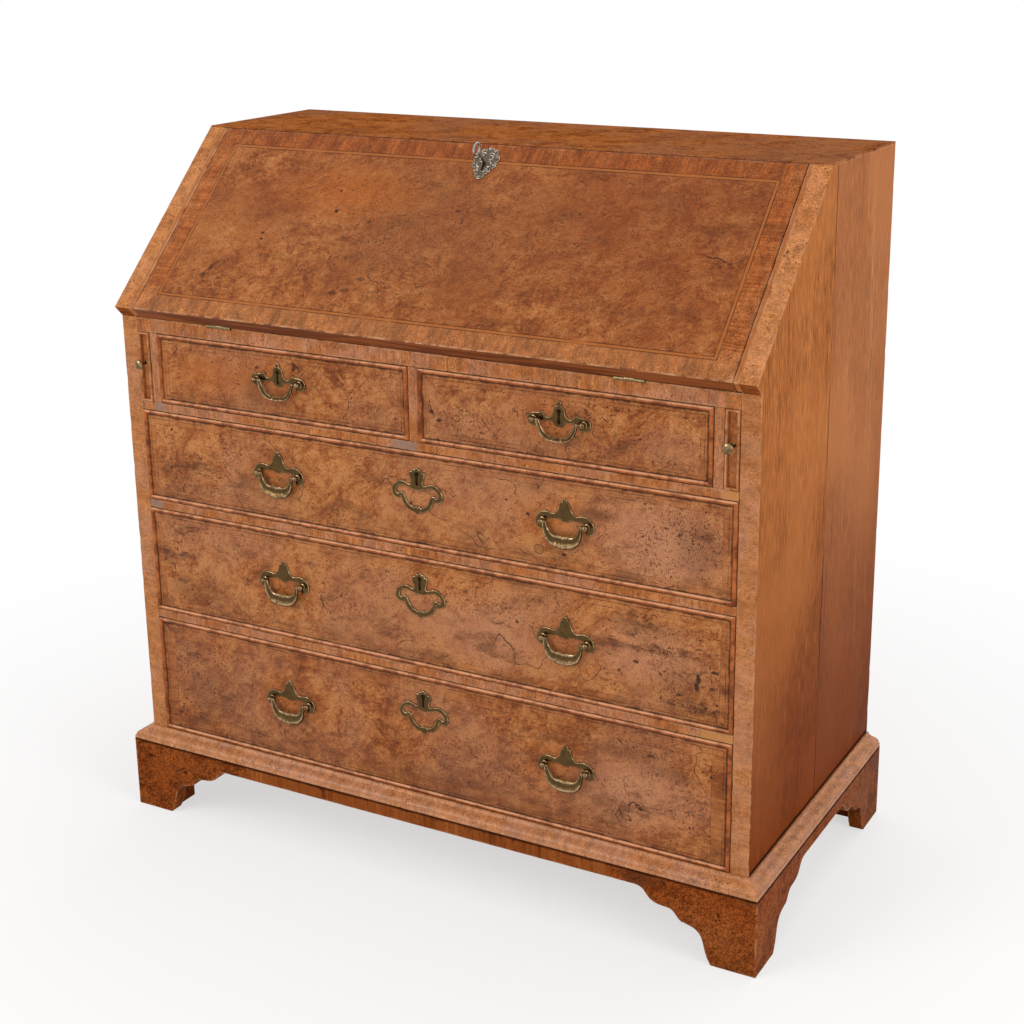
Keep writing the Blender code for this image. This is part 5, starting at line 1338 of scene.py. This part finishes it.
# Base
moulding = {"run": 14 * mm, "foot": 0.3 * mm,
            "profile": [(20.0, 0.0), (20.0, 3.4), (19.6, 4.2), (18.6, 4.6), (18.4, 5.2), (18.6, 6.2),
                        (17.4, 8.6), (14.8, 10.6), (11.4, 11.8), (8.6, 12.3), (6.2, 13.0), (4.2, 14.2),
                        (3.0, 15.8), (2.5, 17.8)],
            "wear": [0, 0.1, 0.35, 0.3, 0.05, 0, 0.15, 0.1, 0.05, 0, 0, 0, 0, 0.05, 0.05, 0]}


def makeMoulding():
    # the profile carried along the left side, the front and the right side, mitred at the corners
    low, high = corners("base_moulding")
    side = corners("side_right")[1][0]
    foot = moulding["foot"]
    out, up = np.vstack([(foot, 0), np.array(moulding["profile"]) * mm, (foot, high[2] - low[2])]).T
    stops = [np.stack([x + out * ways[0], y + out * ways[1], low[2] + up], axis=1) for x, y, ways in (
        (-side, high[1], (-1, 0)), (-side, frontFace, (-1, -1)), (side, frontFace, (1, -1)),
        (side, high[1], (1, 0)))]
    rings = [stops[0][None]]
    for start, end in zip(stops, stops[1:]):
        steps = int(np.linalg.norm(end[0] - start[0]) / moulding["run"])
        rings.append(start + (end - start) * np.linspace(0, 1, steps + 1)[1:, None, None])
    rings = np.concatenate(rings)
    wear = np.broadcast_to(moulding["wear"], rings.shape[:2])
    dress("base_moulding", [ringShape(rings, wear=wear)], "moulding", "walnut_veneer")


plinth = {
    "thick": 21 * mm, "height": 106.2 * mm, "edge": 0.8 * mm, "block": 36 * mm, "mitre": 0.15 * mm,
    "bracket": [(60.5, 0, 1), (66.0, 10.0), (69.6, 21.0), (72.4, 32.0), (77.0, 41.0), (84.6, 46.6),
                (94.0, 49.2), (101.6, 50.8, 1), (106.0, 54.2), (110.4, 60.0), (116.0, 64.2), (123.0, 65.6),
                (131.0, 66.2, 1), (138.0, 67.6), (145.0, 71.2), (150.4, 77.0), (155.0, 82.6), (161.0, 85.6),
                (168.0, 86.5, 1)]}


def plinthShape(start, end, axes):
    # one board: feet at both ends, bracket curves between them and the apron
    height, edge, bracket = plinth["height"], plinth["edge"], plinth["bracket"]
    points = [(start, 0, 1)] + [(start + u * mm, v * mm, *corner) for u, v, *corner in bracket]
    points += [(end - u * mm, v * mm, *corner) for u, v, *corner in reversed(bracket)]
    loop = anticlockwise(flowing(points + [(end, 0, 1), (end, height, 1), (start, height, 1)], 5 * mm))
    profile = roundedEdges(edge, edge + 2 * mm, 0, plinth["thick"], (0, 45, 90))
    rings = carried(axes, profile, lambda inset: offsetLoop(loop, inset))
    wear = column(profile, 2)[:, None] * np.where(rings[..., 2] > height - 2 * mm, 0.0, 0.6)
    return ringShape(rings, wear=wear)


def makePlinth():
    reach, outer = corners("plinth_right")[1][0], corners("plinth_front")[0][1]
    thick, block = plinth["thick"], plinth["block"]
    front = plinthShape(-reach, reach, (np.array([0, outer + thick, 0]), across, upward, -into))
    points = front["points"]
    limit = reach - (points[:, 1] - outer) - plinth["mitre"]
    points[:, 0] = np.clip(points[:, 0], -limit, limit)
    dress("plinth_front", [front], "plinth", "walnut_veneer")
    for name, hand in (("left", -1), ("right", 1)):
        backEnd = corners("plinth_" + name)[1][1]
        axes = (np.array([hand * (reach - thick), 0, 0]), into, upward, across * hand)
        shapes = [plinthShape(outer, backEnd, axes)]
        points = shapes[0]["points"]
        points[:, 1] = np.maximum(points[:, 1], outer + (reach - np.abs(points[:, 0])) + plinth["mitre"])
        near, far = sorted((hand * (reach - thick - block), hand * (reach - thick - 0.1 * mm)))
        for y in (outer + thick + 0.3 * mm, backEnd - block):
            shapes.append(slabShape((near, y, 0), (far, y + block, 106 * mm), 1 * mm, 1 * mm, 8))
        dress("plinth_" + name, shapes, "plinth", "walnut_veneer")


# Fittings of the fall
castLook = {
    "balls": [(0, 23.2, 2.6), (9.6, 19.6, 2.4), (15.4, 9.4, 2.8), (14.6, -2.6, 2.2), (9.4, -12.8, 2.0),
              (0, -22.6, 2.2), (4.6, 20.6, 1.3), (12.8, 14.2, 1.4), (5.0, -18.4, 1.4), (12.4, -7.6, 1.4)],
    "curls": [[(4.2, 12.0), (7.4, 12.6), (9.8, 9.4), (9.0, 5.6), (6.0, 5.4), (5.4, 7.6)],
              [(4.4, 2.0), (8.2, 1.8), (11.0, -1.6), (10.0, -5.6), (6.8, -6.4), (5.6, -4.4)],
              [(3.0, -15.0), (6.0, -12.6), (7.6, -9.2), (5.0, -8.6)],
              [(2.6, 15.4), (5.6, 16.6), (8.6, 15.6), (10.4, 12.8)]]}
keyLook = {"shaft": [(3.6, 0), (3.6, 1.4), (4.2, 1.6), (33, 1.6), (33.8, 2.2), (35.0, 2.3), (36.0, 1.7),
                     (42.6, 1.8), (43.6, 0)],
           "bowAt": 50 * mm, "bowWide": 8.6 * mm, "bowHigh": 6.6 * mm, "bowThick": 1.5 * mm}


def slabByAxes(axes, low, high):
    # a small block in its own axes, sizes in millimetres
    (u0, v0, t0), (u1, v1, t1) = np.array(low, float) * mm, np.array(high, float) * mm
    return boardShape(rectLoop(u0, v0, u1, v1), t0, t1, axes, min(0.3 * mm, (t1 - t0) / 4), 0)


def makeCastPlate():
    face = fallPlate["thick"]
    axes = (hingeLine + upSlope * keySpot + offSlope * (slope["fallThick"] + 0.25 * mm), across, upSlope,
            offSlope)
    shapes = loopShapes([plateLoop(fallPlate["half"]), keyholeLoop(fallPlate["keyhole"], 0, 0)],
                        [plateProfile(face, 0.6 * mm), keyholeProfile(face)], axes)
    for u, v, radius in castLook["balls"]:
        for hand in ((-1, 1) if u else (1,)):
            spot = lay(axes, np.array(u * hand * mm), np.array(v * mm), np.array(face))
            shapes.append(ballShape(spot, radius * mm, offSlope, 0.7, 16, 9))
    for hand in (-1, 1):
        for curl in castLook["curls"]:
            u, v = (np.array(curl) * mm * np.array([hand, 1])).T
            knots, fine = np.arange(len(u)), np.linspace(0, len(u) - 1, 22)
            radii = np.interp(fine, [0, len(u) / 2, len(u) - 1], [0.75 * mm, 1.0 * mm, 0.6 * mm])
            path = lay(axes, np.interp(fine, knots, u), np.interp(fine, knots, v), np.full(len(fine), face))
            shapes.append(tubeShape(path, radii, 8, offSlope))
    dress("fall_escutcheon", shapes, "cast", "dark_cast_brass", fill=offSlope)


def makeKeyAndLock():
    axes = (hingeLine + upSlope * keySpot, across, upSlope, offSlope)
    angle = np.linspace(0, 2 * math.pi, 40, endpoint=False)
    bow = lay(axes, 0 * angle, keyLook["bowWide"] * np.sin(angle),
              keyLook["bowAt"] + keyLook["bowHigh"] * np.cos(angle))
    dress("fall_key", [turnedShape(np.array(keyLook["shaft"]) * mm, axes[0], offSlope, 18, wear=0.3),
                       tubeShape(bow, keyLook["bowThick"], 12, across, closed=True),
                       slabByAxes(axes, (-0.9, -8.0, 3.7), (0.9, -1.0, 8.6))], "steel", "dull_steel")
    length = slope["length"] / mm
    shapes = [slabByAxes(slopeAxes, (-35, length - 49, 0.3), (35, length - 5, 12)),
              slabByAxes(slopeAxes, (-35, length - 1.6, 2.0), (35, length + 0.05, 15))]
    for u, v in ((-28, -12), (28, -12), (-28, -42), (28, -42)):
        spot = lay(slopeAxes, np.array(u * mm), np.array(slope["length"] + v * mm), np.array(0.35 * mm))
        shapes.append(ballShape(spot, 2.2 * mm, offSlope, 0.35, 14, 7))
    dress("fall_lock", shapes, "steel", "dull_steel")
    for leaf in ("bed_leaf_left", "bed_leaf_right", "fall_leaf_left", "fall_leaf_right"):
        slots = frame["nodes"]["hinge_" + leaf].data.materials
        slots.clear()
        slots.append(materials["hinge"])


# Desk interior
interior = {"wall": 6 * mm, "drawerBay": 58 * mm, "drop": 24 * mm, "wideDrop": 30 * mm,
            "knob": [(0, 0), (0, 3.2), (0.8, 3.2), (1.4, 1.8), (4.0, 1.5), (5.2, 2.6), (6.8, 4.3), (8.4, 4.6),
                     (9.8, 3.6), (10.6, 0)],
            "arch": [(0.94, 0.12, 0), (0.86, 0.20, 1), (0.80, 0.52, 0), (0.65, 0.78, 0), (0.5, 0.86, 0),
                     (0.35, 0.78, 0), (0.20, 0.52, 0), (0.14, 0.20, 1), (0.06, 0.12, 0)]}


def valanceShape(left, right, top, drop, near, arches=1):
    # a thin board hung across a pigeonhole, its lower edge cut to arches
    width = (right - left) / arches
    points = [(left, top, 1), (right, top, 1), (right, top - drop, 1)]
    for index in reversed(range(arches)):
        start = left + index * width
        points += [(start + share * width, top - drop * (1 - rise), corner)
                   for share, rise, corner in interior["arch"]]
        points.append((start, top - drop, 1))
    loop = anticlockwise(flowing(points, 2 * mm))
    profile = [(0.9 * mm, 0, 0), (0.4 * mm, 0, 0.3), (0, 0.4 * mm, 0.3), (0, 4.6 * mm, 0.6),
               (0.4 * mm, 5 * mm, 0.6), (0.9 * mm, 5 * mm, 0)]
    axes = (np.array([0, near + 5 * mm, 0]), across, upward, -into)
    return ringShape(carried(axes, profile, lambda inset: offsetLoop(loop, inset)), wear=column(profile, 2))


def makePigeonholes():
    (x0, y0, z0), (x1, y1, z1) = corners("pigeonhole_unit")
    wall = interior["wall"]
    bay = (x1 - x0 - 4 * wall) / 3
    slot = (bay - 2 * wall) / 3
    shelf, ceiling = z0 + wall + interior["drawerBay"], z1 - wall
    stops = [x0 + index * (bay + wall) for index in range(4)]

    def slab(u0, v0, u1, v1, back=0):
        # a board that stands back from the unit's front and rear
        return slabShape((u0, y0 + back, v0), (u1, y1 - back, v1), 0.5 * mm)

    def valance(left, wide, drop, arches=1):
        return valanceShape(left + 0.2 * mm, left + wide - 0.2 * mm, ceiling - 0.2 * mm, drop, y0 + 2 * mm,
                            arches)

    shapes = [slab(x0, z0, x1, z0 + wall), slab(x0, ceiling, x1, z1)]
    shapes += [slab(left, z0 + wall - 1 * mm, left + wall, ceiling + 1 * mm, 0.1 * mm) for left in stops]
    for start in (stops[0] + wall, stops[2] + wall):
        shapes.append(slab(start - 1 * mm, shelf, start + bay + 1 * mm, shelf + wall, 0.2 * mm))
        for left in (start + slot, start + 2 * slot + wall):
            shapes.append(slab(left, shelf + wall - 1 * mm, left + wall, ceiling + 1 * mm, 0.3 * mm))
        shapes += [valance(start + number * (slot + wall), slot, interior["drop"]) for number in range(3)]
    shapes.append(valance(stops[1] + wall, bay, interior["wideDrop"], 3))
    dress("pigeonhole_unit", shapes, "pigeonholes", "walnut_veneer")


def makeInteriorDrawers():
    for name, seed in (("left", 120), ("right", 121)):
        low, high = corners("interior_drawer_" + name)
        (x0, y0, z0), (x1, y1, z1) = low, high
        face = beadedShapes(low, (x1, y0 + 8 * mm, z1), y0 + 1.2 * mm, 2 * mm, 1.2 * mm, [], seed)
        box = boxShapes((x0 + 0.4 * mm, y0 + 8 * mm, z0), (x1 - 0.4 * mm, y1, z1 - 2 * mm), 5 * mm, 5 * mm,
                        seed)
        dress("interior_drawer_" + name, face + box, "pigeonholes", "walnut_veneer")
        knob = knobShape(interior["knob"], (x0 + x1) / 2, y0 + 1.4 * mm, (z0 + z1) / 2)
        makePiece("interior_knob_" + name, [knob], materials["brass"], "old_brass",
                  body="interior_drawer_" + name)


makeSides()
makeTop()
makeBoards()
makeFallAndBed()
print("case and fall made")
makeDrawers()
makeLopers()
print("drawers and lopers made")
makeMoulding()
makePlinth()
makeCastPlate()
makeKeyAndLock()
makePigeonholes()
makeInteriorDrawers()
print("base, fittings and interior made")

# Camera, floor, light
photoView = {"position": (1.1671, -2.0204, 1.2640), "azimuth": 28.068, "elevation": 16.600, "roll": -0.342,
             "lens": 61.710, "sensor": 36.0, "shift": (-0.0439, -0.0725)}
lamps = [
    {"name": "keySoftbox", "at": (-1.9, -3.0, 2.7), "aim": (0.0, -0.1, 0.5), "size": 2.2, "power": 62},
    {"name": "fillSoftbox", "at": (3.4, -1.0, 2.2), "aim": (0.2, 0.0, 0.5), "size": 2.0, "power": 45},
    {"name": "topSoftbox", "at": (0.2, 1.4, 3.2), "aim": (0.0, 0.0, 0.7), "size": 2.4, "power": 26}]
room = {"ambient": 0.58, "floor": 0.95, "floorHalf": 9.0, "fade": (0.5, 1.5), "white": 0.6}


def place(name, data):
    item = bpy.data.objects.new(name, data)
    bpy.context.scene.collection.objects.link(item)
    return item


def makeCamera():
    turn, tip, roll = (math.radians(photoView[key]) for key in ("azimuth", "elevation", "roll"))
    look = Vector((-math.sin(turn) * math.cos(tip), math.cos(turn) * math.cos(tip), -math.sin(tip)))
    right = look.cross(Vector((0, 0, 1))).normalized()
    above = right.cross(look)
    right, above = (right * math.cos(roll) + above * math.sin(roll),
                    above * math.cos(roll) - right * math.sin(roll))
    data = bpy.data.cameras.new("photoCamera")
    data.lens, data.sensor_width = photoView["lens"], photoView["sensor"]
    data.shift_x, data.shift_y = photoView["shift"]
    data.clip_start, data.clip_end = 0.05, 60
    camera = place("photoCamera", data)
    placed = Matrix((right, above, -look)).transposed().to_4x4()
    placed.translation = Vector(photoView["position"])
    camera.matrix_world = placed
    bpy.context.scene.camera = camera


def seenPlainly():
    # 1 where the camera, a mirror or glass looks straight at the surface
    camera, glossy, through = (add("LightPath", out=f"Is {kind} Ray")
                               for kind in ("Camera", "Glossy", "Transmission"))
    return most(most(camera, glossy), through)


def makeStudio():
    for lamp in lamps:
        data = bpy.data.lights.new(lamp["name"], "AREA")
        data.shape, data.size, data.energy = "SQUARE", lamp["size"], lamp["power"]
        item = place(lamp["name"], data)
        item.location = lamp["at"]
        item.rotation_euler = (Vector(lamp["aim"]) - Vector(lamp["at"])).to_track_quat("-Z", "Y").to_euler()
    world = bpy.context.scene.world = bpy.data.worlds.new("paleRoom")
    surface = freshTree(world, "World")
    around = add("Background", {"Color": (1.0, 0.98, 0.96), "Strength": room["ambient"]})
    white = add("Background", {"Color": (1.0, 1.0, 1.0), "Strength": 1.0})
    plug(add("MixShader", {0: seenPlainly(), 1: around, 2: white}), surface)
    half = room["floorHalf"]
    mesh = bpy.data.meshes.new("paleFloor")
    mesh.from_pydata([(-half, -half, 0), (half, -half, 0), (half, half, 0), (-half, half, 0)], [],
                     [(0, 1, 2, 3)])
    floor = place("paleFloor", mesh)
    floor.location.z = -0.4 * mm
    material = bpy.data.materials.new("paleFloor")
    surface = freshTree(material, "Material")
    plain = add("BsdfDiffuse", {"Color": (room["floor"],) * 3})
    glow = add("Emission", {"Color": (1.0, 1.0, 1.0), "Strength": 1.0})
    away = vector("LENGTH", add("TexCoord", out="Object"))
    share = away.ease(*room["fade"], room["white"], 1.0) * seenPlainly()
    plug(add("MixShader", {0: share, 1: plain, 2: glow}), surface)
    mesh.materials.append(material)
    bpy.context.scene.view_settings.view_transform = "Standard"


makeCamera()
makeStudio()
print("camera and studio made")
